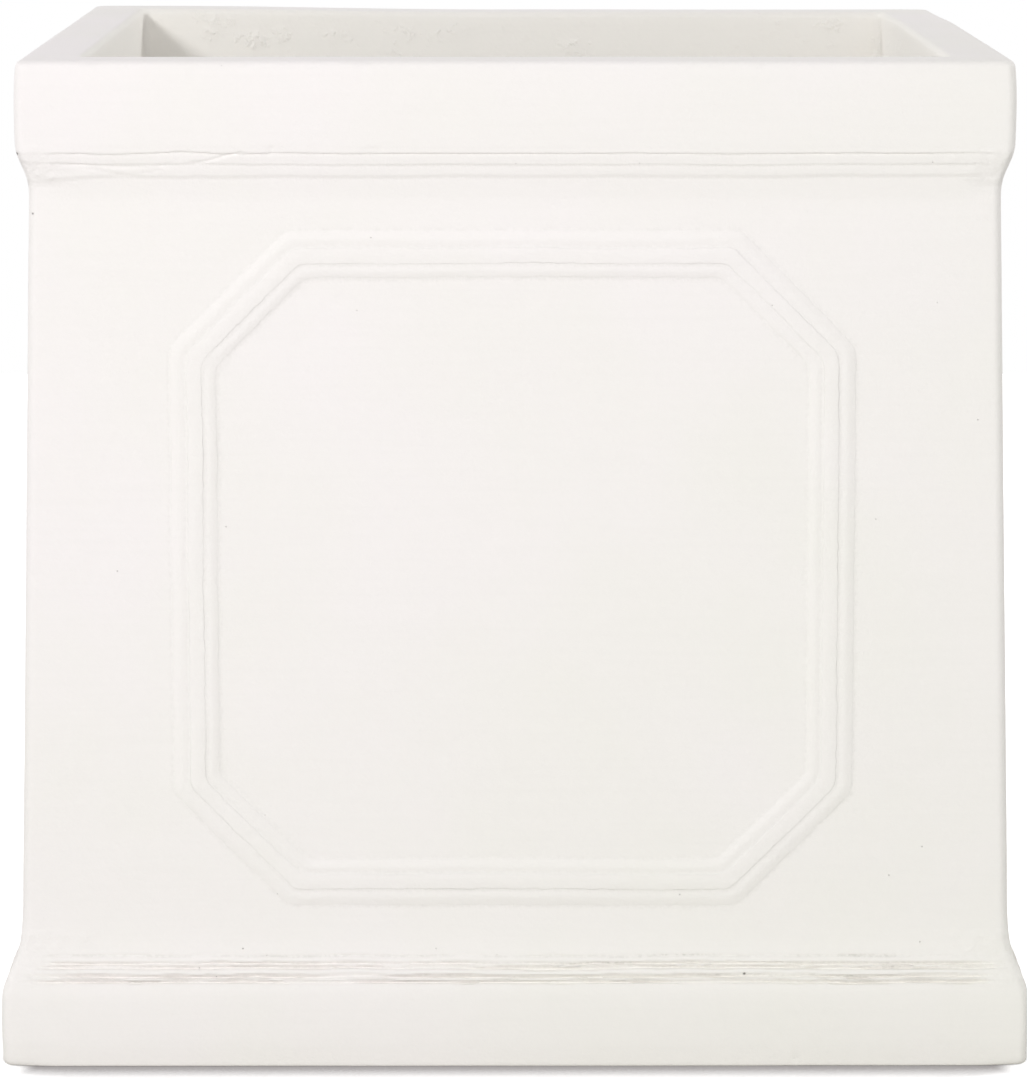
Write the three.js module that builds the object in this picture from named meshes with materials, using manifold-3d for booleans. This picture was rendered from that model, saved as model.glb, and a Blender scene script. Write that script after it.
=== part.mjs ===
// A square planter box in hand-laid, fibre-reinforced cast stone.
//
// Four side panels come out of one mould, each with its share of the rim, the fields, the raised
// eight-sided frame and the plinth. They are mitred at the corners, bedded in slurry, taped with
// glass-fibre mesh on the inside and coved over. A cast floor slab lies on the ledge inside the
// plinth, a cove seals it to the walls, and a rubber plug stops its drain hole.
//
// Millimetres, +Z up. The origin is the middle of the foot, on the ground. The front faces -Y.

import * as THREE from "three";
import { mergeVertices } from "three/addons/utils/BufferGeometryUtils.js";
import Module from "manifold-3d";

// ---------- driving dimensions ----------

// Overall, across the flats.
const HEIGHT = 410;
const RIM_WIDTH = 399; // outside of the rim band at its arrises
const FIELD_TOP_WIDTH = 389.4; // outside of the walls under the rim moulding
const FIELD_FOOT_WIDTH = 403.4; // outside of the walls above the plinth moulding
const PLINTH_WIDTH = 419; // outside of the plinth band at its arrises

// Bands and mouldings, read up the outside of one wall.
const RIM_BAND = 37.5; // height of the plain band at the top
const PLINTH_BAND = 30; // height of the plain band at the foot
const PLINTH_SHOULDER = 7; // height of the round shoulder above it
const SHOULDER_STEP = 1.8; // how far the shoulder draws in
const BELLY = 0.6; // how far each band swells between its arrises
const RIM_ARRIS = 3; // radius of the rim's edges
const FOOT_ARRIS = 5; // radius of the plinth's lower edge
const CORNER_RADIUS = 4; // the planter's upright corners, in plan
const RIM_BEADS = 2; // round beads under the rim band
const RIM_BEAD = 4.6; // height of each
const PLINTH_BEADS = 2; // round beads above the plinth shoulder
const PLINTH_BEAD = 5.4; // height of each
const BEAD_SWELL = 0.9; // how far a bead stands out of the line through its grooves

// Walls.
const WALL = 10; // thickness of the field
const RIM_THICKNESS = 25.4; // width of the flat top
const RIM_DEPTH = 42; // height of the thick rim on the inside
const RIM_SPLAY = 9; // height of the slope from the rim back to the wall
const LEDGE_HEIGHT = 20; // top of the ledge that carries the floor
const LEDGE_WIDTH = 14; // how far it stands in from the wall

// The raised frame on each field.
const FRAME_SIDE_MARGIN = 56.2; // from the frame to the upright edges of the field's head
const FRAME_HEAD_MARGIN = 21.5; // from the frame up to the rim moulding
const FRAME_FOOT_MARGIN = 17.8; // from the frame down to the plinth moulding
const FRAME_CUT = 47; // legs of the cut corners
const FRAME_ROUNDING = 2.5; // radius at the frame's corners, on its outer edge
const OUTER_BEAD = 6.4; // widths of its three beads, from the outer edge in
const MIDDLE_BEAD = 8;
const INNER_BEAD = 5.4;
const SIDE_BEAD_RISE = 1.9; // how far the outer and inner beads stand off the field
const MIDDLE_BEAD_RISE = 3.4;
const BEAD_VALLEY = 1.2; // how far the grooves between them stand off the field
const FRAME_ROOT = 4; // how deep the frame is rooted in the wall

// Corner joints.
const JOINT = 2; // thickness of the slurry in each mitre
const TAPE = 1; // thickness of the glass-fibre mesh tape
const TAPE_LEG = 34; // width of the tape on each wall
const COVE = 17; // reach of the trowelled corner coves along each wall
const FLOOR_COVE = 13; // height and width of the cove round the floor
const FEATHER = 1; // thickness of both at their thin edges
const COVE_HOLLOW = 2; // how far both sink below the straight line between their edges

// Floor and drain.
const FLOOR = 14; // thickness of the slab
const DRAIN_DIAMETER = 28;
const PLUG_FLANGE = 38; // diameter of the plug's flange
const PLUG_FLANGE_HEIGHT = 3;
const PLUG_TAPER = 1.2; // how much the shank's radius shrinks to its foot
const PLUG_REACH = 5; // how far the shank stands out under the floor
const PLUG_WALL = 3.5; // rubber round the hollow shank
const PLUG_EDGE = 1; // radius of the flange's and the grip's edges
const GRIP_DIAMETER = 12; // the pull on top of the plug
const GRIP_NECK = 7; // diameter under the grip
const GRIP_HEIGHT = 9;

// Clearances.
const BED = 0.3; // between pieces bedded on each other
const PLUG_FIT = 0.4; // round the plug's shank

// How finely round stretches are cut.
const CURVE_STEPS = 4; // of a bead or an arris
const CORNER_STEPS = 4; // of an upright corner
const FRAME_CORNER_STEPS = 3; // of the frame's corners
const ROUND_STEPS = 40; // of the drain and the plug

const PAST = 1; // how far a cutting shape runs past what it cuts

// ---------- heights and half widths worked out from them ----------

const rimHalf = RIM_WIDTH / 2;
const fieldTopHalf = FIELD_TOP_WIDTH / 2;
const fieldFootHalf = FIELD_FOOT_WIDTH / 2;
const plinthHalf = PLINTH_WIDTH / 2;

const rimBandFoot = HEIGHT - RIM_BAND;
const fieldTop = rimBandFoot - RIM_BEADS * RIM_BEAD;
const fieldFoot = PLINTH_BAND + PLINTH_SHOULDER + PLINTH_BEADS * PLINTH_BEAD;
const draft = Math.atan2(fieldFootHalf - fieldTopHalf, fieldTop - fieldFoot); // lean of the walls

// Half width of the walls' outside and inside at a height.
const outsideAt = (z) => fieldFootHalf - (z - fieldFoot) * Math.tan(draft);
const insideAt = (z) => outsideAt(z) - WALL / Math.cos(draft);

const rimInner = rimHalf - RIM_THICKNESS;
const rimUnderside = HEIGHT - RIM_DEPTH;
const wallTop = rimUnderside - RIM_SPLAY;
const ledgeInner = insideAt(LEDGE_HEIGHT) - LEDGE_WIDTH;
const slabFoot = LEDGE_HEIGHT + BED;
const slabTop = slabFoot + FLOOR;
const coveFoot = slabTop + BED;
const tapeInset = BED + TAPE + BED; // from the wall to the cove that covers the tape

// ---------- solids ----------

const UP = new THREE.Vector3(0, 0, 1);

const wasm = await Module();
wasm.setup();

// A closed three.js geometry as a solid that can be joined and cut.
function solid(geometry) {
  const bare = geometry.index ? geometry.toNonIndexed() : geometry.clone();
  bare.deleteAttribute("normal");
  bare.deleteAttribute("uv");
  const merged = mergeVertices(bare, 1e-4);
  return new wasm.Manifold(
    new wasm.Mesh({
      numProp: 3,
      vertProperties: new Float32Array(merged.attributes.position.array),
      triVerts: new Uint32Array(merged.index.array),
    }),
  );
}

// A solid back as a three.js geometry.
function geometryOf(made) {
  const mesh = made.getMesh();
  const geometry = new THREE.BufferGeometry();
  geometry.setAttribute("position", new THREE.BufferAttribute(mesh.vertProperties, 3));
  geometry.setIndex(new THREE.BufferAttribute(mesh.triVerts, 1));
  const flat = geometry.toNonIndexed();
  flat.computeVertexNormals();
  return flat;
}

// Joins rings of points, each an array of Vector3 of one length, into a closed surface. The last
// ring joins the first where loop is true; otherwise the first and last ring are closed by fans.
function loft(rings, loop) {
  const n = rings[0].length;
  const corners = [];
  const last = loop ? rings.length : rings.length - 1;
  for (let i = 0; i < last; i++) {
    const a = rings[i];
    const b = rings[(i + 1) % rings.length];
    for (let j = 0; j < n; j++) {
      const k = (j + 1) % n;
      corners.push(a[j], a[k], b[k], a[j], b[k], b[j]);
    }
  }
  if (!loop) {
    const top = rings[rings.length - 1];
    for (let j = 1; j < n - 1; j++) {
      corners.push(rings[0][0], rings[0][j + 1], rings[0][j]);
      corners.push(top[0], top[j], top[j + 1]);
    }
  }
  return new THREE.BufferGeometry().setFromPoints(corners);
}

// A square ring with round corners, at half width half and height z.
function squareRing(half, z) {
  const flat = half - CORNER_RADIUS;
  const quarter = Math.PI / 2;
  const ring = [];
  for (let corner = 0; corner < 4; corner++) {
    for (let step = 0; step <= CORNER_STEPS; step++) {
      const angle = (step / CORNER_STEPS) * quarter;
      const x = flat + CORNER_RADIUS * Math.cos(angle);
      const y = flat + CORNER_RADIUS * Math.sin(angle);
      ring.push(new THREE.Vector3(x, y, z).applyAxisAngle(UP, corner * quarter));
    }
  }
  return ring;
}

// Takes a closed section of (half width, height) points round the square, as a lathe takes one
// round a circle. The section runs anticlockwise, so the surface faces out.
function squareLathe(section) {
  return solid(
    loft(
      section.map((p) => squareRing(p.x, p.y)),
      true,
    ),
  );
}

// A solid that fills the shell between two heights, up to inset from the walls.
function squareStack(low, high, inset) {
  const ringAt = (z) => squareRing(insideAt(z) - inset, z);
  return solid(loft([ringAt(low), ringAt(high)], false));
}

// An outline in plan, as an upright prism between two heights.
function prism(shape, low, high) {
  const made = new THREE.ExtrudeGeometry(shape, {
    depth: high - low,
    bevelEnabled: false,
    curveSegments: ROUND_STEPS / 2,
  });
  return solid(made.translate(0, 0, low));
}

// ---------- one wall's section ----------

// A run of round beads from the path's end to (half, z). Each stands out of the line by swell.
function beadsTo(path, half, z, count, swell) {
  const from = path.currentPoint.clone();
  for (let i = 1; i <= count; i++) {
    const end = from.clone().lerp(new THREE.Vector2(half, z), i / count);
    const middle = path.currentPoint.clone().lerp(end, 0.5);
    path.quadraticCurveTo(middle.x + 2 * swell, middle.y, end.x, end.y);
  }
}

// The section of the whole shell, from the inside of the foot outwards, up and back down inside.
function wallSection() {
  const s = new THREE.Shape();
  s.moveTo(ledgeInner, 0);
  s.lineTo(plinthHalf - FOOT_ARRIS, 0);
  s.absarc(plinthHalf - FOOT_ARRIS, FOOT_ARRIS, FOOT_ARRIS, -Math.PI / 2, 0);
  s.quadraticCurveTo(plinthHalf + 2 * BELLY, PLINTH_BAND / 2, plinthHalf, PLINTH_BAND);
  const shoulderTop = PLINTH_BAND + PLINTH_SHOULDER;
  s.quadraticCurveTo(plinthHalf, shoulderTop, plinthHalf - SHOULDER_STEP, shoulderTop);
  beadsTo(s, outsideAt(fieldFoot), fieldFoot, PLINTH_BEADS, BEAD_SWELL);
  s.lineTo(outsideAt(fieldTop), fieldTop);
  beadsTo(s, rimHalf - BEAD_SWELL, rimBandFoot, RIM_BEADS, BEAD_SWELL);
  s.quadraticCurveTo(rimHalf, rimBandFoot, rimHalf, rimBandFoot + RIM_ARRIS);
  const rimMiddle = (rimBandFoot + HEIGHT) / 2;
  s.quadraticCurveTo(rimHalf + 2 * BELLY, rimMiddle, rimHalf, HEIGHT - RIM_ARRIS);
  s.absarc(rimHalf - RIM_ARRIS, HEIGHT - RIM_ARRIS, RIM_ARRIS, 0, Math.PI / 2);
  s.lineTo(rimInner + RIM_ARRIS, HEIGHT);
  s.absarc(rimInner + RIM_ARRIS, HEIGHT - RIM_ARRIS, RIM_ARRIS, Math.PI / 2, Math.PI);
  s.lineTo(rimInner, rimUnderside);
  s.lineTo(insideAt(wallTop), wallTop);
  s.lineTo(insideAt(LEDGE_HEIGHT), LEDGE_HEIGHT);
  s.lineTo(ledgeInner, LEDGE_HEIGHT);
  return distinct(s.getPoints(CURVE_STEPS));
}

// The points of an outline without the ones that repeat the point before them.
function distinct(points) {
  return points.filter((p, i) => {
    const before = points[(i + points.length - 1) % points.length];
    return p.distanceTo(before) > 1e-3;
  });
}

// ---------- the raised frame ----------

// A rectangle with cut corners, inset from the frame's outer edge, lifted off the field. It lies
// in the XZ plane and stands out towards -Y.
function frameRing(width, height, inset, lift) {
  const halfX = width / 2 - inset;
  const halfZ = height / 2 - inset;
  const cut = FRAME_CUT - inset * (2 - Math.SQRT2);
  const tangent = (FRAME_ROUNDING + inset / 2) * Math.tan(Math.PI / 8);
  const corners = [
    [halfX, cut - halfZ],
    [halfX, halfZ - cut],
    [halfX - cut, halfZ],
    [cut - halfX, halfZ],
    [-halfX, halfZ - cut],
    [-halfX, cut - halfZ],
    [cut - halfX, -halfZ],
    [halfX - cut, -halfZ],
  ].map(([x, z]) => new THREE.Vector3(x, -lift, z));
  const towards = (from, to) =>
    from.clone().add(to.clone().sub(from).setLength(tangent));
  return corners.flatMap((corner, i) => {
    const start = towards(corner, corners[(i + 7) % 8]);
    const end = towards(corner, corners[(i + 1) % 8]);
    return new THREE.QuadraticBezierCurve3(start, corner, end).getPoints(FRAME_CORNER_STEPS);
  });
}

// The section of the frame, as (inset, lift) points: three beads side by side on a sunk root.
function frameSection() {
  const firstValley = OUTER_BEAD;
  const secondValley = firstValley + MIDDLE_BEAD;
  const inner = secondValley + INNER_BEAD;
  const sideControl = 2 * SIDE_BEAD_RISE - BEAD_VALLEY / 2;
  const middleControl = 2 * MIDDLE_BEAD_RISE - BEAD_VALLEY;
  const s = new THREE.Shape();
  s.moveTo(0, -FRAME_ROOT);
  s.lineTo(0, 0);
  s.quadraticCurveTo(firstValley / 2, sideControl, firstValley, BEAD_VALLEY);
  s.quadraticCurveTo((firstValley + secondValley) / 2, middleControl, secondValley, BEAD_VALLEY);
  s.quadraticCurveTo((secondValley + inner) / 2, sideControl, inner, 0);
  s.lineTo(inner, -FRAME_ROOT);
  return distinct(s.getPoints(CURVE_STEPS));
}

// The frame on the front wall, leaning with it.
function frameSolid() {
  const margins = FRAME_HEAD_MARGIN + FRAME_FOOT_MARGIN;
  const width = FIELD_TOP_WIDTH - 2 * FRAME_SIDE_MARGIN;
  const height = (fieldTop - fieldFoot) / Math.cos(draft) - margins;
  const sunk = (FRAME_HEAD_MARGIN - FRAME_FOOT_MARGIN) * Math.cos(draft);
  const middle = (fieldTop + fieldFoot - sunk) / 2;
  const rings = frameSection().map((p) => frameRing(width, height, p.x, p.y));
  const lying = loft(rings, true).rotateX(-draft);
  return solid(lying.translate(0, -outsideAt(middle), middle));
}

// ---------- pieces ----------

const shell = squareLathe(wallSection());
const reach = Math.max(RIM_WIDTH, PLINTH_WIDTH); // past the shell from the middle, in plan

// The side panel at the front: the part of the shell between two mitres, and its frame.
function panelGeometry() {
  const apart = (JOINT / 2 + BED) * Math.SQRT2; // mitre faces stand back from the diagonals
  const wedge = new THREE.Shape()
    .moveTo(0, -apart)
    .lineTo(-reach, -reach - apart)
    .lineTo(reach, -reach - apart);
  const between = shell.intersect(prism(wedge, -PAST, HEIGHT + PAST));
  return geometryOf(between.add(frameSolid()));
}

// The slurry in the mitre between the front and right panels.
function jointGeometry() {
  const slab = new THREE.BoxGeometry(reach, JOINT, HEIGHT + 2 * PAST);
  slab.translate(reach / 2, 0, HEIGHT / 2).rotateZ(-Math.PI / 4);
  return geometryOf(shell.intersect(solid(slab)));
}

// The space in the front right corner, from the walls in by leg along each of them.
function cornerBox(low, high, leg) {
  const from = insideAt(high) - leg;
  const box = new THREE.Shape()
    .moveTo(from, -reach)
    .lineTo(reach, -reach)
    .lineTo(reach, -from)
    .lineTo(from, -from);
  return prism(box, low, high);
}

// Mesh tape, folded into the front right corner and bedded on both walls.
function tapeGeometry() {
  const low = coveFoot + FLOOR_COVE + BED;
  const high = wallTop - BED;
  const outer = squareStack(low, high, BED);
  const inner = squareStack(low - PAST, high + PAST, BED + TAPE);
  return geometryOf(outer.subtract(inner).intersect(cornerBox(low, high, TAPE_LEG)));
}

// The section of the cove round the floor, swollen by off to cut its seat in other pieces.
function floorCoveSection(off) {
  const low = coveFoot - off;
  const high = coveFoot + FLOOR_COVE + off;
  const wallAt = (z) => insideAt(z) - BED + off;
  const toe = new THREE.Vector2(wallAt(coveFoot) - FLOOR_COVE - 2 * off, coveFoot + FEATHER + off);
  const head = new THREE.Vector2(wallAt(high) - FEATHER - 2 * off, high);
  const control = hollowed(head, toe, 1, -1);
  const s = new THREE.Shape();
  s.moveTo(toe.x, low);
  s.lineTo(wallAt(low), low);
  s.lineTo(wallAt(high), high);
  s.lineTo(head.x, head.y);
  s.quadraticCurveTo(control.x, control.y, toe.x, toe.y);
  return distinct(s.getPoints(CURVE_STEPS));
}

// The control point of a cove's curve between two edges, sunk towards the (right, up) corner.
function hollowed(from, to, right, up) {
  const sunk = new THREE.Vector2(right, up).setLength(2 * COVE_HOLLOW);
  return from.clone().lerp(to, 0.5).add(sunk);
}

// The trowelled cove that covers the tape in the front right corner.
function coveGeometry() {
  const low = coveFoot;
  const high = wallTop - BED;
  const space = squareStack(low, high, tapeInset).intersect(cornerBox(low, high, COVE));
  const floorCove = squareLathe(floorCoveSection(BED));
  return geometryOf(space.subtract(coveFront(low - PAST, high + PAST)).subtract(floorCove));
}

// The open space in front of the corner cove, leaning with both walls.
function coveFront(low, high) {
  const face = COVE - FEATHER;
  const front = new THREE.Shape().moveTo(-reach, -face).lineTo(0, -face);
  const control = hollowed(new THREE.Vector2(0, -face), new THREE.Vector2(face, 0), 1, -1);
  front.quadraticCurveTo(control.x, control.y, face, 0).lineTo(face, reach).lineTo(-reach, reach);
  const ringAt = (z) => {
    const centre = insideAt(z) - tapeInset - COVE;
    const points = distinct(front.getPoints(2 * CURVE_STEPS));
    return points.map((p) => new THREE.Vector3(centre + p.x, p.y - centre, z));
  };
  return solid(loft([ringAt(low), ringAt(high)], false));
}

// The floor slab, with its drain hole.
function slabGeometry() {
  const hole = new THREE.Shape().absarc(0, 0, DRAIN_DIAMETER / 2, 0, 2 * Math.PI);
  const slab = squareStack(slabFoot, slabTop, BED);
  return geometryOf(slab.subtract(prism(hole, slabFoot - PAST, slabTop + PAST)));
}

// The rubber plug: a flange, a hollow tapered shank and a pull.
function plugGeometry() {
  const shank = DRAIN_DIAMETER / 2 - PLUG_FIT;
  const shankFoot = shank - PLUG_TAPER;
  const foot = slabFoot - PLUG_REACH;
  const seat = slabTop + BED;
  const flange = PLUG_FLANGE / 2;
  const flangeTop = seat + PLUG_FLANGE_HEIGHT;
  const neck = GRIP_NECK / 2;
  const grip = GRIP_DIAMETER / 2;
  const gripFoot = flangeTop + GRIP_HEIGHT / 2;
  const gripTop = flangeTop + GRIP_HEIGHT;
  const s = new THREE.Path();
  s.moveTo(0, seat);
  s.lineTo(shank - PLUG_WALL, seat);
  s.lineTo(shankFoot - PLUG_WALL, foot);
  s.lineTo(shankFoot, foot);
  s.lineTo(shank, seat);
  s.lineTo(flange, seat);
  s.lineTo(flange, flangeTop - PLUG_EDGE);
  s.quadraticCurveTo(flange, flangeTop, flange - PLUG_EDGE, flangeTop);
  s.lineTo(neck + PLUG_EDGE, flangeTop);
  s.quadraticCurveTo(neck, flangeTop, neck, flangeTop + PLUG_EDGE);
  s.lineTo(neck, gripFoot);
  s.quadraticCurveTo(grip, gripFoot + PLUG_EDGE, grip, gripTop - PLUG_EDGE);
  s.quadraticCurveTo(grip, gripTop, grip - PLUG_EDGE, gripTop);
  s.lineTo(0, gripTop);
  const outline = distinct(s.getPoints(CURVE_STEPS));
  return new THREE.LatheGeometry(outline, ROUND_STEPS).rotateX(Math.PI / 2);
}

// ---------- materials ----------

const paintedStone = new THREE.MeshStandardMaterial({
  name: "painted cast stone",
  color: 0xf1eeea,
  roughness: 0.85,
  metalness: 0,
});
const rawStone = new THREE.MeshStandardMaterial({
  name: "trowelled cast stone",
  color: 0xe4e0d8,
  roughness: 0.95,
  metalness: 0,
});
const glassFibre = new THREE.MeshStandardMaterial({
  name: "glass-fibre mesh",
  color: 0xd9dcd2,
  roughness: 0.7,
  metalness: 0,
});
const rubber = new THREE.MeshStandardMaterial({
  name: "rubber",
  color: 0x2b2b2b,
  roughness: 0.8,
  metalness: 0,
});

// ---------- assembly ----------

const planter = new THREE.Group();

function place(name, geometry, material, quarterTurns = 0) {
  const mesh = new THREE.Mesh(geometry, material);
  mesh.name = name;
  mesh.rotation.z = (quarterTurns * Math.PI) / 2;
  planter.add(mesh);
}

const panel = panelGeometry();
["front", "right", "back", "left"].forEach((side, turns) =>
  place(side + "_panel", panel, paintedStone, turns),
);

const joint = jointGeometry();
const tape = tapeGeometry();
const cove = coveGeometry();
["front_right", "back_right", "back_left", "front_left"].forEach((corner, turns) => {
  place("mitre_joint_" + corner, joint, paintedStone, turns);
  place("mesh_tape_" + corner, tape, glassFibre, turns);
  place("corner_cove_" + corner, cove, rawStone, turns);
});

place("floor_slab", slabGeometry(), rawStone);
place("floor_cove", geometryOf(squareLathe(floorCoveSection(0))), rawStone);
place("drain_plug", plugGeometry(), rubber);

export default planter;
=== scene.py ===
# %% [markdown]
# # A cast planter box, dressed for a portrait
# The planter is a square garden box. It is laid up by hand in a mould from cement, fine sand and
# glass fibre, so its skin is hard and matt like plaster and never quite straight. The solids made
# beforehand give its sizes and its moving piece. This script loads them as a fixed frame and puts
# a finely modelled skin over each.

import math

import bpy
import numpy as np
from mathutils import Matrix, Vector


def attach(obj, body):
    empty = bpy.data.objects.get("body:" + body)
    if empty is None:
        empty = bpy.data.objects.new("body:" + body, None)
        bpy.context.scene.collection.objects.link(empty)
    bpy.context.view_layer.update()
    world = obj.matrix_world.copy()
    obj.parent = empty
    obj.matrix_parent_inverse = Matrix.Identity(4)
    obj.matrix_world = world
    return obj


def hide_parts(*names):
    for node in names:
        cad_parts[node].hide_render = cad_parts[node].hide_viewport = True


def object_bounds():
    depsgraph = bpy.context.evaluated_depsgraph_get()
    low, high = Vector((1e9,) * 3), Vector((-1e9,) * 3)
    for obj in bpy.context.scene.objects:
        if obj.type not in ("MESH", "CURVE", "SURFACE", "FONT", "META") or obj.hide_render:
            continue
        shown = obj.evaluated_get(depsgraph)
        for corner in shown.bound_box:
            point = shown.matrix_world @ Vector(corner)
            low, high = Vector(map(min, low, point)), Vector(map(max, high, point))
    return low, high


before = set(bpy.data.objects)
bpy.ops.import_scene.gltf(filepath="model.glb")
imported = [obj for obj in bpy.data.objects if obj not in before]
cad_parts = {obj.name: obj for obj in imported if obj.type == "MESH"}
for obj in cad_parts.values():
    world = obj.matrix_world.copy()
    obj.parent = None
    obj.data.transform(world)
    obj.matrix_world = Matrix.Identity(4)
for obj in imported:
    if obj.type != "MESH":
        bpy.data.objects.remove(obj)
cad_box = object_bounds()
scene = bpy.context.scene
print("box of the solids in mm:", [round(1000 * v) for corner in cad_box for v in corner])

# %% [markdown]
# Blender measures in metres and mixes light in linear values. Planter sizes are easier to read in
# millimetres, and paint is easier to pick as the hex colour of a screen, so two small functions
# turn one into the other. A third adds a node, because both the materials and the shapes below
# are grown by node trees: it sets the node up, fills or links its inputs and gives an output back.

# %% Small helpers
MM = 0.001


def linear(colour):
    """A screen colour such as "#F4F1EE" as linear red, green, blue and alpha."""
    parts = [int(colour[i : i + 2], 16) / 255 for i in (1, 3, 5)]
    bent = [v / 12.92 if v <= 0.04045 else ((v + 0.055) / 1.055) ** 2.4 for v in parts]
    return (*bent, 1.0)


def add(tree, kind, values=None, out=0, **settings):
    """Adds a node with its settings and its inputs' values or links. Gives one output back."""
    node = tree.nodes.new(kind)
    for name, setting in settings.items():
        setattr(node, name, setting)
    for socket, value in (values or {}).items():
        if isinstance(value, bpy.types.NodeSocket):
            tree.links.new(value, node.inputs[socket])
        else:
            node.inputs[socket].default_value = value
    return node if out is None else node.outputs[out]


print("white paint is", [round(v, 3) for v in linear("#F4F1EE")])

# %% [markdown]
# ## The camera
# The photograph looks straight at one side from about 2.2 m, through a long lens, from just high
# enough to see over the rim. The lens length comes from how fast the rim's side edges run
# together, and the height from how much of the far rim shows over the near one.

# %% Camera
AZIMUTH = -0.0036
ELEVATION = 0.162
DISTANCE = 2.196
TARGET = Vector((0, 0, 0.1839))

away = Vector(
    (
        math.sin(AZIMUTH) * math.cos(ELEVATION),
        -math.cos(AZIMUTH) * math.cos(ELEVATION),
        math.sin(ELEVATION),
    )
)
lens = bpy.data.cameras.new("portrait lens")
lens.lens = 164.6
lens.sensor_width = 36
lens.clip_start = 0.1
lens.clip_end = 30
camera = bpy.data.objects.new("camera", lens)
camera.location = TARGET + DISTANCE * away
camera.rotation_euler = away.to_track_quat("Z", "Y").to_euler()
scene.collection.objects.link(camera)
scene.camera = camera
print("camera stands at", [round(v, 3) for v in camera.location])

# %% [markdown]
# ## The light
# The front of the planter and the far wall inside are brighter than the top of the rim, and the
# left rim throws a soft slanting shadow on that far wall. So the light comes mostly from the
# front and low: a window light on the left and a broad fill beside the camera. Two reflectors
# behind the planter open its inside and light the top of the rim without touching the front,
# and a pale room, a plain world colour, does the rest. The camera sees the room as pure white.

# %% Light
ROOM_LEVEL = 0.44
SOFTBOXES = [  # name, watts, width and distance in metres, and the way towards it
    ("window", 33.0, 0.5, 3.2, (-0.49, -0.80, 0.43)),
    ("front_fill", 27.0, 2.0, 3.4, (0.20, -1.0, 0.08)),
    ("right_reflector", 19.0, 0.9, 2.5, (0.78, 0.46, 0.48)),
    ("left_reflector", 13.0, 0.9, 2.5, (-0.78, 0.46, 0.48)),
]
for name, watts, width, distance, towards in SOFTBOXES:
    box = bpy.data.lights.new(name, "AREA")
    box.shape = "DISK"
    box.size = width
    box.energy = watts
    way = Vector(towards).normalized()
    stand = bpy.data.objects.new(name, box)
    stand.location = Vector((0, 0, 0.2)) + distance * way
    stand.rotation_euler = way.to_track_quat("Z", "Y").to_euler()
    scene.collection.objects.link(stand)

room = bpy.data.worlds.new("white room")
room.use_nodes = True
room.node_tree.nodes.clear()
world_tree = room.node_tree
ray = add(world_tree, "ShaderNodeLightPath", out=None)
seen = add(
    world_tree,
    "ShaderNodeMath",
    {0: ray.outputs["Is Camera Ray"], 1: ray.outputs["Is Glossy Ray"]},
    operation="MAXIMUM",
)
seen = add(
    world_tree,
    "ShaderNodeMath",
    {0: seen, 1: ray.outputs["Is Transmission Ray"]},
    operation="MAXIMUM",
)
lit = add(world_tree, "ShaderNodeBackground", {"Color": (1, 1, 1, 1), "Strength": ROOM_LEVEL})
shown = add(world_tree, "ShaderNodeBackground", {"Color": (1, 1, 1, 1), "Strength": 1.0})
mixed = add(world_tree, "ShaderNodeMixShader", {0: seen, 1: lit, 2: shown})
add(world_tree, "ShaderNodeOutputWorld", {"Surface": mixed}, out=None)
scene.world = room
scene.view_settings.view_transform = "Standard"
print("room level", ROOM_LEVEL, "softboxes", [box[:2] for box in SOFTBOXES])

# %% [markdown]
# ## The floor
# The planter stands on a pale sheet. The sheet throws a little light back at the planter as pale
# paper does. For the camera alone it is whiter and glows a little, so that it is pure white away
# from the planter and still goes grey where the planter keeps the light off it. A soft contact
# shade under the edges is painted into the sheet's colour, standing in for the shade of the air
# gap under the real foot.

# %% Floor
FLOOR_HALF = 2.0
FLOOR_GLOW = 0.62
CONTACT_REACH = 0.036
CONTACT_DEPTH = 0.76

sheet_mesh = bpy.data.meshes.new("white sheet")
corners = [(-1, -1), (1, -1), (1, 1), (-1, 1)]
sheet_mesh.from_pydata([(FLOOR_HALF * x, FLOOR_HALF * y, 0) for x, y in corners], [], [(0, 1, 2, 3)])
sheet = bpy.data.objects.new("white_sheet", sheet_mesh)
scene.collection.objects.link(sheet)

paper = bpy.data.materials.new("white paper sheet")
paper.use_nodes = True
paper.node_tree.nodes.clear()
paper_tree = paper.node_tree
ray = add(paper_tree, "ShaderNodeLightPath", out="Is Camera Ray")
shade = add(
    paper_tree, "ShaderNodeAmbientOcclusion", {"Distance": CONTACT_REACH}, out="AO", samples=8
)
shade = add(
    paper_tree, "ShaderNodeMapRange",
    {"Value": shade, "From Min": 0.56, "From Max": 0.94, "To Min": CONTACT_DEPTH, "To Max": 0.0},
    interpolation_type="SMOOTHSTEP",
)
place = add(paper_tree, "ShaderNodeTexCoord", out="Object")
place = add(paper_tree, "ShaderNodeVectorMath", {0: place}, operation="ABSOLUTE")
from_corner = add(
    paper_tree, "ShaderNodeVectorMath", {0: place, 1: (0.21, 0.21, 0)}, out="Value",
    operation="DISTANCE",
)
fade = add(
    paper_tree, "ShaderNodeMapRange", {"Value": from_corner, "From Min": 0.002, "From Max": 0.015},
    interpolation_type="SMOOTHSTEP",
)
beside = add(paper_tree, "ShaderNodeSeparateXYZ", {0: place}, out="X")
beside = add(  # fainter beside the two walls that the window light runs along
    paper_tree, "ShaderNodeMapRange",
    {"Value": beside, "From Min": 0.2085, "From Max": 0.2115, "To Min": 1.0, "To Max": 0.3},
)
shade = add(paper_tree, "ShaderNodeMath", {0: shade, 1: fade}, operation="MULTIPLY")
shade = add(paper_tree, "ShaderNodeMath", {0: shade, 1: beside}, operation="MULTIPLY")
# painted shade: near the planter's edges the sheet's colour is darkened towards a deep brownish grey
shaded_sheet_colour = add(
    paper_tree, "ShaderNodeMix", {0: shade, 6: (1, 1, 1, 1), 7: linear("#3A2B2E")}, out=2,
    data_type="RGBA",
)
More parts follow.
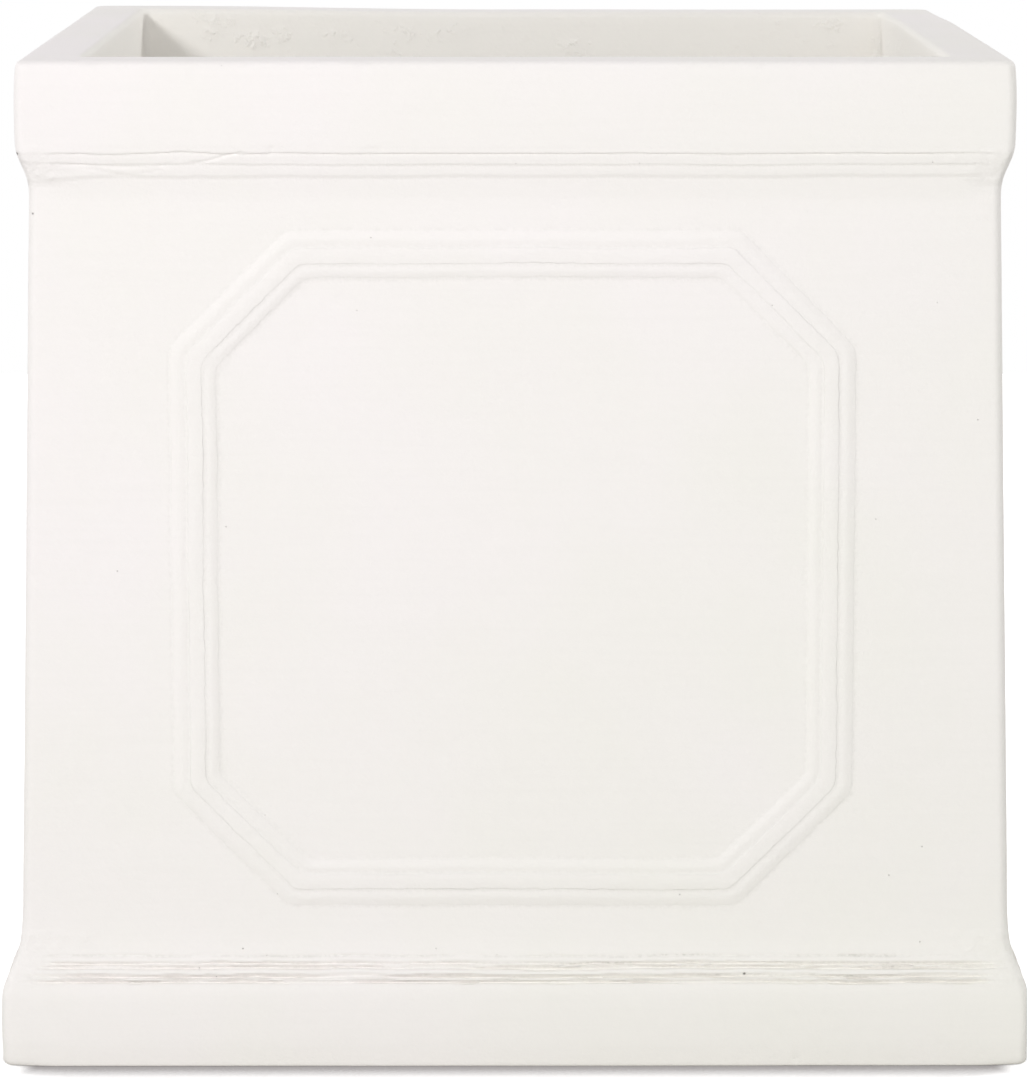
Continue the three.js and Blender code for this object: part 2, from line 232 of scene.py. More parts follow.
pale = add(paper_tree, "ShaderNodeBsdfDiffuse", {"Color": linear("#D2D2CE")})
white = add(paper_tree, "ShaderNodeBsdfDiffuse", {"Color": shaded_sheet_colour})
glow = add(
    paper_tree, "ShaderNodeEmission", {"Color": shaded_sheet_colour, "Strength": FLOOR_GLOW}
)
shown = add(paper_tree, "ShaderNodeAddShader", {0: white, 1: glow})
both = add(paper_tree, "ShaderNodeMixShader", {0: ray, 1: pale, 2: shown})
add(paper_tree, "ShaderNodeOutputMaterial", {"Surface": both}, out=None)
sheet_mesh.materials.append(paper)
print("floor", 2 * FLOOR_HALF, "m across")

# %% [markdown]
# ## The planter's sizes
# These are the sizes of the solids, read up the outside of one wall: a plinth band, a soft
# moulding, a field that leans in a little, another moulding and the rim band. At the corners the
# two mouldings are worn to smooth swan-neck curves, and that is the shape listed here. The fine
# beads between the corners are laid on later.

# %% Sizes
HEIGHT = 410.0
FIELD_FOOT = 47.8
FIELD_FOOT_HALF = 201.7
LEAN = 0.02219  # how far the wall leans in for each millimetre of height
WALL = 10.0
RIM_INNER_HALF = 174.1
RIM_UNDERSIDE = 368.0
WALL_TOP = 359.0
LEDGE_TOP = 20.0
LEDGE_INNER_HALF = 178.3
CORNER_RADIUS = 4.0
SLAB_FOOT = 20.3
SLAB_TOP = 34.3


def outside_at(z):
    """Half width of the plain field at a height."""
    return FIELD_FOOT_HALF - (z - FIELD_FOOT) * LEAN


def inside_at(z):
    """Half width of the space between the walls at a height."""
    return outside_at(z) - WALL


# The outside of a corner: heights and half widths.
PLINTH_CURVE = [
    (7, 209.6), (10, 209.8), (18, 209.95), (25, 209.9), (29, 209.7), (32, 209.2),
    (34.5, 208.4), (37, 207.3), (39.5, 206.0), (42, 204.9), (44.5, 203.95), (47, 203.2),
    (50, 202.55), (54, 202.0), (59, 201.6), (66, outside_at(66)),
]
RIM_CURVE = [
    (352, outside_at(352)), (357, 194.9), (360, 195.2), (363, 195.9), (366, 197.0),
    (368.5, 198.0), (371, 198.9), (373, 199.45), (375, 199.8), (378, 199.95),
    (385, 200.05), (393, 200.1), (400, 199.9), (404, 199.65), (407, 199.4),
]
print("field leans", round(math.degrees(math.atan(LEAN)), 2), "degrees")

# %% [markdown]
# ## One wall's outline
# A wall is one outline swept from corner to corner, like a length of skirting board. The outline
# starts at the inside of the foot, goes out under the wall, up the outside, over the rim and down
# the inside. Its points stand close together where the beads and the frame will be laid on, and
# further apart on the plain parts, which keeps the mesh light.

# %% Outline of a wall
LINE_STEP = 0.5
RIM_LINE_STEP = 0.43
BEAD_STEP = 0.65
CUT_STEP = 0.95
PLAIN_STEP = 4.2
FOOT_ROUND = 1.1
CORNER_FOOT_ROUND = 2.8  # the same at the corners, where it is knocked and worn
RIM_ROUND = 3.1


def steps(low, high, step):
    """Evenly spaced values from low up to but not at high."""
    count = max(1, round(abs(high - low) / step))
    return list(np.linspace(low, high, count, endpoint=False))


def arc(centre, radius, start, end, count):
    """Points on an arc of the outline, from one angle to another in degrees."""
    turn = np.radians(np.linspace(start, end, count))
    return [(centre[0] + radius * math.cos(a), centre[1] + radius * math.sin(a)) for a in turn]


def outer_half(z):
    """Half width of the outside at any height between the two arrises."""
    curve = PLINTH_CURVE + RIM_CURVE
    return np.interp(z, [p[0] for p in curve], [p[1] for p in curve])


def soft_outer_half(z):
    """The same, with its corners eased by averaging over a few millimetres."""
    spread = np.linspace(-2.4, 2.4, 13)
    weight = np.cos(spread / 2.4 * math.pi / 2) ** 2 + 1e-3
    middle = np.clip(z + spread, FOOT_ROUND, 407)
    return float((outer_half(middle) * weight).sum() / weight.sum())


# The outside read upwards, as (up to this height, in steps of).
OUTSIDE_RUNS = [
    (8, 1.3), (30, 3), (34, 1), (46, LINE_STEP), (52, 0.9), (60, 2), (64, 1.3), (87, BEAD_STEP),
    (122, CUT_STEP), (291, PLAIN_STEP), (320, CUT_STEP), (343, BEAD_STEP), (346, 1.3),
    (361, 1.8), (375.2, RIM_LINE_STEP), (378, 0.8), (407, 2.9),
]


def wall_outline():
    """Points (half width, height), and for each how far it belongs to the unpainted inside."""
    foot_flat = 209.6 - FOOT_ROUND
    foot = [(w, 0.0) for w in steps(LEDGE_INNER_HALF, foot_flat, 4.8)]
    foot += arc((foot_flat, FOOT_ROUND), FOOT_ROUND, -90, 0, 7)[:-1]
    heights, low = [], FOOT_ROUND
    for high, step in OUTSIDE_RUNS:
        heights += steps(low, high, step)
        low = high
    outside = [(soft_outer_half(z), z) for z in heights]
    rim = arc((199.4 - RIM_ROUND, 409.7 - RIM_ROUND), RIM_ROUND, 0, 90, 6)
    rim += [(w, 409.7 + 0.1 * math.sin((196 - w) / 6)) for w in steps(194.5, 178.5, 1.8)]
    rim += arc((176.9, 406.9), 2.8, 90, 180, 6)
    rim += [(RIM_INNER_HALF, z) for z in steps(404.0, RIM_UNDERSIDE, 3.3)]
    under = [(w, np.interp(w, [174.1, 184.8], [368, 359])) for w in steps(174.1, 184.8, 3.6)]
    wall = [(inside_at(z), z) for z in steps(WALL_TOP, 300, 5) + steps(300, LEDGE_TOP, 11)]
    ledge = [(w, LEDGE_TOP) for w in steps(inside_at(LEDGE_TOP), LEDGE_INNER_HALF, 7)]
    heel = [(LEDGE_INNER_HALF, z) for z in steps(LEDGE_TOP, 0, 7)]
    points = foot + outside + rim + under + wall + ledge + heel
    painted = len(foot + outside + rim)
    raw = np.zeros(len(points))
    raw[painted:] = 1
    raw[: len(foot) - 5] = 1
    return np.array(points), raw


outline, raw_share = wall_outline()
print("outline has", len(outline), "points, in a box", outline.min(0), outline.max(0))

# %% [markdown]
# ## Sweeping it along a side
# Each point of the outline becomes a row along the side. The rows run straight and then turn a
# small radius into the corner, up to the mitre where the next wall is glued on. The columns stand
# close together where the frame's upright and slanting parts run. Some facts are kept on every
# point for later: how far along the side it is, how far from the corner, how far it swells past
# the plain field, and which way is out.

# %% Sweep
STRAIGHT_END = 150.0  # columns stand at fixed places up to here
MITRE_TURN = 30.52  # degrees round the corner at which the mitre starts
RIM_SAG = 1.7


def panel_columns():
    """Columns of half a side as (place, share of the way from there to the corner, turn)."""
    places = steps(0, 80, 3) + steps(80, 118, CUT_STEP)
    places += steps(118, 141, BEAD_STEP) + steps(141, STRAIGHT_END, 2.2)
    columns = [(p, 0.0, 0.0) for p in places]
    columns += [(STRAIGHT_END, f, 0.0) for f in np.linspace(0, 1, 17)]
    columns += [(STRAIGHT_END, 1.0, math.radians(t)) for t in (7, 14, 21, 29.3, MITRE_TURN)]
    return [(-1, *c) for c in columns[:0:-1]] + [(1, *c) for c in columns]


def joint_columns():
    """Columns across the filled mitre at the right end of a side."""
    turns = (MITRE_TURN, 31.8, 38, 45, 52, 58.2, 90 - MITRE_TURN)
    return [(1, STRAIGHT_END, 1.0, math.radians(t)) for t in turns]


def section_normals(points):
    """The outward direction at each point of a closed outline that runs anticlockwise."""
    along = np.roll(points, -1, 0) - np.roll(points, 1, 0)
    out = np.stack([along[:, 1], -along[:, 0]], 1)
    return out / np.linalg.norm(out, axis=1, keepdims=True)


def quarter_turned(points, turns):
    """Points turned about the upright axis by quarter turns."""
    angle = turns * math.pi / 2
    c, s = round(math.cos(angle)), round(math.sin(angle))
    return points @ np.array([[c, s, 0], [-s, c, 0], [0, 0, 1.0]])


def grid_faces(rows, columns):
    """Quads of a grid whose rows close into a tube, with its two ends closed."""
    i, j = np.meshgrid(np.arange(rows), np.arange(columns - 1), indexing="ij")
    k = (i + 1) % rows
    quads = [i * columns + j, i * columns + j + 1, k * columns + j + 1, k * columns + j]
    faces = np.stack(quads, -1).reshape(-1, 4).tolist()
    left = [r * columns for r in range(rows)]
    right = [r * columns + columns - 1 for r in reversed(range(rows))]
    return faces + [left, right]


def sagged(points):
    """The far rim sinks a little towards the right, as the photographed one does."""
    x, y, z = points.T
    ease = lambda v, low, high: 0.5 - 0.5 * np.cos(np.clip((v - low) / (high - low), 0, 1) * math.pi)
    sag = RIM_SAG * ease(x, -170, 0) * ease(y, 40, 190) * ease(z, 320, 400)
    return points - np.stack([0 * x, 0 * x, sag], -1)


def pulled_in(z, radius):
    """How far a rounded foot stands back at a height, for this radius."""
    rest = np.clip(radius - z, 0, None)
    return radius - np.sqrt(np.clip(radius**2 - rest**2, 0, None))


def swept_wall(name, columns, turns):
    """A wall's skin along these columns, turned to its side, with its facts on its points."""
    sign, place, share, turn = (np.array(v)[None, :] for v in zip(*columns))
    half, height = outline[:, :1], outline[:, 1:]
    normal = section_normals(outline)
    flat_end = half - CORNER_RADIUS
    along = place + share * (flat_end - STRAIGHT_END)
    x = sign * (along + CORNER_RADIUS * np.sin(turn))
    y = -flat_end - CORNER_RADIUS * np.cos(turn)
    z = height + 0 * x
    worn = np.clip((half - 185) / 23, 0, 1)
    at_corner = worn * (pulled_in(height, CORNER_FOOT_ROUND) - pulled_in(height, FOOT_ROUND))
    nearness = np.clip(1 - (flat_end - along) / 22, 0, 1) ** 2
    radius = FOOT_ROUND + (CORNER_FOOT_ROUND - FOOT_ROUND) * nearness
    here = worn * (pulled_in(height, radius) - pulled_in(height, FOOT_ROUND))
    x, y = x - sign * share * at_corner, y + here
    out = np.stack([normal[:, :1] * sign * np.sin(turn), -normal[:, :1] * np.cos(turn)], -1)
    out = np.concatenate([out, (normal[:, 1:] + 0 * x)[..., None]], -1)
    points = np.stack([x, y, z], -1).reshape(-1, 3)
    mesh = bpy.data.meshes.new(name)
    faces = grid_faces(len(outline), len(columns))
    placed = sagged(quarter_turned(points, turns))
    mesh.from_pydata((placed * MM).tolist(), [], faces)
    corner = np.clip(flat_end - along, 0, None) * np.cos(turn)
    swell = half - outside_at(height) + 0 * x
    raw = raw_share[:, None] + 0 * x
    facts = {"along": x, "from_corner": corner, "swell": swell, "raw": raw}
    for fact, values in facts.items():
        scale = 1 if fact == "raw" else MM
        put = mesh.attributes.new(fact, "FLOAT", "POINT")
        put.data.foreach_set("value", (values * scale).astype(np.float32).ravel())
    put = mesh.attributes.new("outward", "FLOAT_VECTOR", "POINT")
    turned = quarter_turned(out.reshape(-1, 3), turns)
    put.data.foreach_set("vector", turned.astype(np.float32).ravel())
    return mesh


def volume(mesh):
    """Volume inside a closed mesh in litres. It is negative if the faces point inwards."""
    mesh.calc_loop_triangles()
    points = np.empty(len(mesh.vertices) * 3, np.float32)
    mesh.vertices.foreach_get("co", points)
    corners = np.empty(len(mesh.loop_triangles) * 3, np.int32)
    mesh.loop_triangles.foreach_get("vertices", corners)
    a, b, c = points.reshape(-1, 3)[corners.reshape(-1, 3)].astype(float).transpose(1, 0, 2)
    return float(np.einsum("ij,ij->i", a, np.cross(b, c)).sum() / 6 * 1000)


trial = swept_wall("trial", panel_columns(), 0)
print("a side has", len(trial.vertices), "points and holds", round(volume(trial), 3), "litres")

# %% [markdown]
# ## Marks left by the hand
# A hand-laid skin has dimples, small lumps where a drop of slurry dried, and nicks along its
# edges. Each is a place, a radius and a height, and together they are a cloud of points that the
# tree below looks up. The lumps on the far inner wall are the ones the photograph shows, and the
# rest are scattered with a fixed seed.

# %% Marks
rng = np.random.default_rng(7)
BACK_LUMPS = [
    (-141, 400, 5.0, 0.7), (-121, 395, 4.5, 0.8), (-109, 397.5, 3.5, 0.5), (-84, 397, 4.0, 0.6),
    (-51, 397.5, 4.0, 0.5), (-27, 399, 4.0, 0.5), (27, 391, 5.0, 0.8), (150, 403, 4.0, 0.6),
    (171, 390, 3.0, -0.8),
]
marks = [(x, RIM_INNER_HALF, z, radius, high) for x, z, radius, high in BACK_LUMPS]


def on_side(turns, along, out, z):
    """A place on one of the four sides."""
    return tuple(quarter_turned(np.array([[along, -out, z]]), turns)[0])


for turns in range(4):
    for _ in range(26):  # shallow dimples in the field
        along, z = rng.uniform(-180, 180), rng.uniform(60, 350)
        place = on_side(turns, along, outside_at(z), z)
        marks.append((*place, rng.uniform(5, 12), -rng.uniform(0.1, 0.3)))
    for _ in range(14):  # nicks along the rim and the plinth
        along, z = rng.uniform(-195, 195), rng.choice([409, 374, 37, 3])
        place = on_side(turns, along, 209 if z < 60 else 199, z)
        marks.append((*place, rng.uniform(1.6, 3.4), -rng.uniform(0.3, 0.7)))
    for _ in range(60):  # lumps of slurry inside
        along, z = rng.uniform(-165, 165), rng.uniform(60, 355)
        place = on_side(turns, along, inside_at(z), z)
        marks.append((*place, rng.uniform(4, 9), rng.uniform(0.3, 0.9)))
    for _ in range(10 if turns != 2 else 0):  # and on the inside of the rim
        along, z = rng.uniform(-165, 165), rng.uniform(375, 404)
        place = on_side(turns, along, RIM_INNER_HALF, z)
        marks.append((*place, rng.uniform(3, 5), rng.uniform(0.2, 0.6)))

mark_mesh = bpy.data.meshes.new("marks")
mark_mesh.from_pydata([tuple(MM * v for v in m[:3]) for m in marks], [], [])
for fact, index in (("radius", 3), ("high", 4)):
    put = mark_mesh.attributes.new(fact, "FLOAT", "POINT")
    put.data.foreach_set("value", np.array([m[index] * MM for m in marks], np.float32))
mark_cloud = bpy.data.objects.new("marks", mark_mesh)
print("marks:", len(marks))

# %% [markdown]
# ## Trees that lay the moulding on
# The raised frame and the fine beads follow a rule: each is a run of round ridges at a fixed
# distance from a line. That is work for Geometry Nodes. A small group gives the height of one
# ridge at a given distance, and is used for every bead and groove of the planter. Its fullness
# is 1 for a shallow bead and goes down towards a half for a round one with steep flanks.

# %% Setting up a tree


def new_tree(name, inputs, outputs=(("Geometry", "Geometry"),)):
    """A tree with these named inputs (name, kind, value) and outputs. Gives its input node."""
    tree = bpy.data.node_groups.new(name, "GeometryNodeTree")
    for label, kind, *value in inputs:
        socket = tree.interface.new_socket(label, in_out="INPUT", socket_type="NodeSocket" + kind)
        if value:
            socket.default_value = value[0]
    for label, kind in outputs:
        tree.interface.new_socket(label, in_out="OUTPUT", socket_type="NodeSocket" + kind)
    given = add(tree, "NodeGroupInput", out=None).outputs
    return tree, given


# %% The ridge group
ridge, given = new_tree(
    "Round ridge",
    [
        ("Distance", "Float"), ("Middle", "Float"), ("Width", "Float"), ("Rise", "Float"),
        ("Fullness", "Float", 1.0),
    ],
    [("Height", "Float"), ("Share", "Float")],
)
off = add(ridge, "ShaderNodeMath", {0: given["Distance"], 1: given["Middle"]}, operation="SUBTRACT")
off = add(ridge, "ShaderNodeMath", {0: off, 1: given["Width"]}, operation="DIVIDE")
square = add(ridge, "ShaderNodeMath", {0: off, 1: off}, operation="MULTIPLY")
share = add(ridge, "ShaderNodeMath", {0: square, 1: -4.0, 2: 1.0}, operation="MULTIPLY_ADD")
share = add(ridge, "ShaderNodeMath", {0: share, 1: 0.0}, operation="MAXIMUM")
share = add(ridge, "ShaderNodeMath", {0: share, 1: given["Fullness"]}, operation="POWER")
high = add(ridge, "ShaderNodeMath", {0: share, 1: given["Rise"]}, operation="MULTIPLY")
add(ridge, "NodeGroupOutput", {"Height": high, "Share": share}, out=None)
print("ridge group has", len(ridge.nodes), "nodes")

# %% [markdown]
# The frame is an eight-sided figure: a rectangle with its corners cut. How far a point lies
# inside it is the least of three distances, to the upright sides, to the level sides and to the
# cuts. Three ridges stand at fixed depths inside that line. A slow noise makes the line waver,
# and another wears the beads down here and there, as rubbing and thick paint do.

# %% The frame group
frame_rule, given = new_tree(
    "Beaded frame",
    [
        ("Along", "Float"), ("Up", "Float"), ("Place", "Vector"),
        ("Frame Width", "Float", 0.2770), ("Frame Height", "Float", 0.2764),
        ("Middle Height", "Float", 0.2035), ("Corner Cut", "Float", 0.047),
        ("Outer Bead", "Float", 0.0064), ("Middle Bead", "Float", 0.0080),
        ("Inner Bead", "Float", 0.0054), ("Side Rise", "Float", 0.0003),
        ("Middle Rise", "Float", 0.0006), ("Shelf", "Float", 0.0008),
        ("Rounding", "Float", 0.0035), ("Waver", "Float", 0.0016), ("Rubbing", "Float", 0.42),
    ],
    [("Height", "Float"), ("Hollow", "Float"), ("Zone", "Float"), ("Inset", "Float")],
)
t = frame_rule
half_wide = add(t, "ShaderNodeMath", {0: given["Frame Width"], 1: 0.5}, operation="MULTIPLY")
half_high = add(t, "ShaderNodeMath", {0: given["Frame Height"], 1: 0.5}, operation="MULTIPLY")
across = add(t, "ShaderNodeMath", {0: given["Along"]}, operation="ABSOLUTE")
up = add(t, "ShaderNodeMath", {0: given["Up"], 1: given["Middle Height"]}, operation="SUBTRACT")
up = add(t, "ShaderNodeMath", {0: up}, operation="ABSOLUTE")
to_side = add(t, "ShaderNodeMath", {0: half_wide, 1: across}, operation="SUBTRACT")
to_head = add(t, "ShaderNodeMath", {0: half_high, 1: up}, operation="SUBTRACT")
to_cut = add(t, "ShaderNodeMath", {0: to_side, 1: to_head}, operation="ADD")
to_cut = add(t, "ShaderNodeMath", {0: to_cut, 1: given["Corner Cut"]}, operation="SUBTRACT")
to_cut = add(t, "ShaderNodeMath", {0: to_cut, 1: math.sqrt(0.5)}, operation="MULTIPLY")
rounding = given["Rounding"]
inset = add(t, "ShaderNodeMath", {0: to_side, 1: to_head, 2: rounding}, operation="SMOOTH_MIN")
inset = add(t, "ShaderNodeMath", {0: inset, 1: to_cut, 2: rounding}, operation="SMOOTH_MIN")

slow = add(t, "ShaderNodeTexNoise", {"Vector": given["Place"], "Scale": 26.0, "Detail": 3.0})
slow = add(t, "ShaderNodeMath", {0: slow, 1: 0.5}, operation="SUBTRACT")
slow = add(t, "ShaderNodeMath", {0: slow, 1: given["Waver"], 2: inset}, operation="MULTIPLY_ADD")

worn, shares, edge = [], [], 0.0
for number, (bead, rise, fullness) in enumerate(
    (
        ("Outer Bead", given["Side Rise"], 1.0),
        ("Middle Bead", given["Middle Rise"], 0.9),
        ("Inner Bead", given["Side Rise"], 1.0),
    )
):
    half_bead = add(t, "ShaderNodeMath", {0: given[bead], 1: 0.5}, operation="MULTIPLY")
    middle = add(t, "ShaderNodeMath", {0: half_bead, 1: edge}, operation="ADD")
    one = add(
        t,
        "GeometryNodeGroup",
        {
            "Distance": slow, "Middle": middle, "Width": given[bead], "Rise": rise,
            "Fullness": fullness,
        },
        out=None,
        node_tree=ridge,
    )
    moved = add(
        t, "ShaderNodeVectorMath", {0: given["Place"], 1: (number, 0, 0)}, operation="ADD"
    )
    wear = add(t, "ShaderNodeTexNoise", {"Vector": moved, "Scale": 34.0, "Detail": 4.0})
    wear = add(
        t,
        "ShaderNodeMapRange",
        {"Value": wear, "From Min": 0.38, "From Max": 0.66, "To Min": 0.0, "To Max": 1.0},
        interpolation_type="SMOOTHSTEP",
    )
    wear = add(t, "ShaderNodeMath", {0: wear, 1: given["Rubbing"]}, operation="MULTIPLY")
    wear = add(t, "ShaderNodeMath", {0: 1.0, 1: wear}, operation="SUBTRACT")
    worn.append(
        add(t, "ShaderNodeMath", {0: one.outputs["Height"], 1: wear}, operation="MULTIPLY")
    )
    shares.append(one.outputs["Share"])
    edge = add(t, "ShaderNodeMath", {0: middle, 1: half_bead}, operation="ADD")

climb = add(
    t, "ShaderNodeMapRange", {"Value": slow, "From Min": -0.0003, "From Max": 0.0046},
    interpolation_type="SMOOTHSTEP",
)
bank_start = add(t, "ShaderNodeMath", {0: edge, 1: 0.0042}, operation="SUBTRACT")
past_edge = add(t, "ShaderNodeMath", {0: edge, 1: 0.0006}, operation="ADD")
fall = add(
    t, "ShaderNodeMapRange", {"Value": slow, "From Min": past_edge, "From Max": bank_start},
    interpolation_type="SMOOTHSTEP",
)
plateau = add(t, "ShaderNodeMath", {0: climb, 1: fall}, operation="MULTIPLY")
total = add(t, "ShaderNodeMath", {0: plateau, 1: given["Shelf"]}, operation="MULTIPLY")
for one in worn:
    total = add(t, "ShaderNodeMath", {0: total, 1: one}, operation="ADD")

tops = add(t, "ShaderNodeMath", {0: shares[0], 1: shares[1]}, operation="MAXIMUM")
tops = add(t, "ShaderNodeMath", {0: tops, 1: shares[2]}, operation="MAXIMUM")
low = add(t, "ShaderNodeMath", {0: 1.0, 1: tops}, operation="SUBTRACT")
low = add(t, "ShaderNodeMath", {0: low, 1: 3.0}, operation="POWER")
before = add(
    t, "ShaderNodeMapRange", {"Value": slow, "From Min": -0.0018, "From Max": 0.0},
    interpolation_type="SMOOTHSTEP",
)
past = add(t, "ShaderNodeMath", {0: edge, 1: 0.0018}, operation="ADD")
after = add(
    t, "ShaderNodeMapRange", {"Value": slow, "From Min": past, "From Max": edge},
    interpolation_type="SMOOTHSTEP",
)
zone = add(t, "ShaderNodeMath", {0: before, 1: after}, operation="MULTIPLY")
low = add(t, "ShaderNodeMath", {0: low, 1: zone}, operation="MULTIPLY")
add(
    t, "NodeGroupOutput", {"Height": total, "Hollow": low, "Zone": zone, "Inset": slow}, out=None
)
print("frame group has", len(t.nodes), "nodes")

# %% [markdown]
# The fine beads under the rim and over the plinth are level lines. They were run with a finger or
# a brush along the mould, so they wander up and down a little, come and go, and die out before
# the corners. Each line of the first list is a ridge or, with a negative rise, a groove. The
# second list is a stair: between the corners the rim comes down to the field in three steps,
# where at the corners it is one smooth curve.

# %% The level bead group
LEVEL_LINES = [  # height, width and rise in millimetres
    (370.9, 3.6, 0.12), (366.5, 3.6, 0.12), (372.4, 1.2, -0.12), (45.1, 1.4, -0.45),
    (43.9, 2.4, 0.30), (39.0, 2.4, 0.70), (42.2, 1.4, -1.6), (40.6, 1.5, -1.9),
    (36.4, 1.4, 0.35), (37.4, 1.4, -2.2), (35.3, 1.5, -2.3),
]
RIM_STEPS = [(372.6, 0.9, 0.78), (368.0, 1.1, 0.66), (363.4, 2.4, 0.78)]  # the same, going up
RIM_REST = 3.03  # the rest of the way, as a slow slope behind the steps
RIM_FORKS = [  # a line that leaves one step and joins the next: from, to, height, height, depth
    (-128, -107, 368.9, 373.0, 0.45), (-146, -138, 364.8, 368.6, 0.4),
    (-171, -155, 366.6, 363.9, 0.4), (-178, -150, 368.0, 367.0, 0.3),
]
level_rule, given = new_tree(
    "Level beads",
    [
        ("Up", "Float"), ("Along", "Float"), ("Place", "Vector"), ("From Corner", "Float"),
        ("Swell", "Float"), ("Forks", "Float", 0.0), ("Wander", "Float", 0.0013), ("Fade From", "Float", 0.001), ("Fade To", "Float", 0.014),
    ],
    [("Height", "Float"), ("Hollow", "Float")],
)
t = level_rule
flatter = add(
    t, "ShaderNodeVectorMath", {0: given["Place"], 1: (1, 1, 0.25)}, operation="MULTIPLY"
)
wander = add(t, "ShaderNodeTexNoise", {"Vector": flatter, "Scale": 19.0, "Detail": 4.0})
wander = add(t, "ShaderNodeMath", {0: wander, 1: 0.5}, operation="SUBTRACT")
level = add(
    t, "ShaderNodeMath", {0: wander, 1: given["Wander"], 2: given["Up"]}, operation="MULTIPLY_ADD"
)
ragged = add(t, "ShaderNodeTexNoise", {"Vector": given["Place"], "Scale": 90.0, "Detail": 3.0})
ragged = add(t, "ShaderNodeMath", {0: ragged, 1: 0.5}, operation="SUBTRACT")
corner = add(
    t, "ShaderNodeMath", {0: ragged, 1: 0.03, 2: given["From Corner"]}, operation="MULTIPLY_ADD"
)
fade = add(
    t,
    "ShaderNodeMapRange",
    {"Value": corner, "From Min": given["Fade From"], "From Max": given["Fade To"]},
    interpolation_type="SMOOTHSTEP",
)
jitter = add(t, "ShaderNodeVectorMath", {0: given["Place"], 1: (70, 70, 260)}, operation="MULTIPLY")
jitter = add(t, "ShaderNodeTexNoise", {"Vector": jitter, "Scale": 1.0, "Detail": 3.0})
jitter = add(t, "ShaderNodeMath", {0: jitter, 1: 0.5}, operation="SUBTRACT")
jittered = add(t, "ShaderNodeMath", {0: jitter, 1: 0.0016, 2: level}, operation="MULTIPLY_ADD")
levels = (jittered, level)
stray_far = add(
    t, "ShaderNodeMapRange",
    {"Value": given["Along"], "From Min": -0.10, "From Max": -0.13, "To Min": 0.0008, "To Max": 0.0042},
)
total, low = 0.0, 0.0
for number, (at, wide, rise) in enumerate(LEVEL_LINES):
    one = add(
        t,
        "GeometryNodeGroup",
        {"Distance": levels[at > 200], "Middle": at * MM, "Width": wide * MM, "Rise": rise * MM},
        out=None,
        node_tree=ridge,
    )
    moved = add(t, "ShaderNodeVectorMath", {0: flatter, 1: (0, 0, 3 * number)}, operation="ADD")
    comes = add(t, "ShaderNodeTexNoise", {"Vector": moved, "Scale": 24.0, "Detail": 3.0})
    comes = add(
        t,
        "ShaderNodeMapRange",
        {"Value": comes, "From Min": 0.34, "From Max": 0.56, "To Min": 0.40, "To Max": 1.0},
        interpolation_type="SMOOTHSTEP",
    )
    high = add(
        t, "ShaderNodeMath", {0: one.outputs["Height"], 1: comes, 2: total}, operation="MULTIPLY_ADD"
    )
    total = high
    if rise < 0:
        low = add(
            t, "ShaderNodeMath", {0: one.outputs["Share"], 1: comes, 2: low}, operation="MULTIPLY_ADD"
        )
stair = add(t, "ShaderNodeMath", {0: 0.0, 1: given["Swell"]}, operation="SUBTRACT")
for number, (at, wide, rise) in enumerate(RIM_STEPS):
    moved = add(t, "ShaderNodeVectorMath", {0: flatter, 1: (0, 5 * number, 0)}, operation="ADD")
    strays = add(t, "ShaderNodeTexNoise", {"Vector": moved, "Scale": 34.0, "Detail": 3.0})
    strays = add(t, "ShaderNodeMath", {0: strays, 1: 0.5}, operation="SUBTRACT")
    strays = add(t, "ShaderNodeMath", {0: strays, 1: stray_far, 2: level}, operation="MULTIPLY_ADD")
    step = add(
        t,
        "ShaderNodeMapRange",
        {
            "Value": strays, "From Min": (at - wide / 2) * MM, "From Max": (at + wide / 2) * MM,
            "To Max": rise * MM,
        },
        interpolation_type="SMOOTHSTEP",
    )
    stair = add(t, "ShaderNodeMath", {0: stair, 1: step}, operation="ADD")
ramp = add(
    t, "ShaderNodeMapRange",
    {"Value": given["Up"], "From Min": 0.354, "From Max": 0.374, "To Max": RIM_REST * MM},
)
stair = add(t, "ShaderNodeMath", {0: stair, 1: ramp}, operation="ADD")
for left, right, low_end, high_end, depth in RIM_FORKS:
    climbs = add(
        t, "ShaderNodeMapRange",
        {
            "Value": given["Along"], "From Min": left * MM, "From Max": right * MM,
            "To Min": low_end * MM, "To Max": high_end * MM,
        },
        interpolation_type="SMOOTHSTEP",
    )
    one = add(
        t, "GeometryNodeGroup",
        {"Distance": level, "Middle": climbs, "Width": 1.5 * MM, "Rise": -depth * MM},
        node_tree=ridge,
    )
    begins = add(
        t, "ShaderNodeMapRange",
        {"Value": given["Along"], "From Min": (left - 3) * MM, "From Max": (left + 1) * MM},
    )
    ends = add(
        t, "ShaderNodeMapRange",
        {"Value": given["Along"], "From Min": (right + 1) * MM, "From Max": (right - 3) * MM},
    )
    begins = add(t, "ShaderNodeMath", {0: begins, 1: ends}, operation="MULTIPLY")
    begins = add(t, "ShaderNodeMath", {0: begins, 1: given["Forks"]}, operation="MULTIPLY")
    stair = add(t, "ShaderNodeMath", {0: one, 1: begins, 2: stair}, operation="MULTIPLY_ADD")
for start, end in ((0.3520, 0.3550), (0.3752, 0.3738)):
    window = add(t, "ShaderNodeMapRange", {"Value": given["Up"], "From Min": start, "From Max": end})
    stair = add(t, "ShaderNodeMath", {0: stair, 1: window}, operation="MULTIPLY")
total = add(t, "ShaderNodeMath", {0: total, 1: stair}, operation="ADD")
total = add(t, "ShaderNodeMath", {0: total, 1: fade}, operation="MULTIPLY")
low = add(t, "ShaderNodeMath", {0: low, 1: fade}, operation="MULTIPLY")
add(t, "NodeGroupOutput", {"Height": total, "Hollow": low}, out=None)
print("level bead group has", len(t.nodes), "nodes")

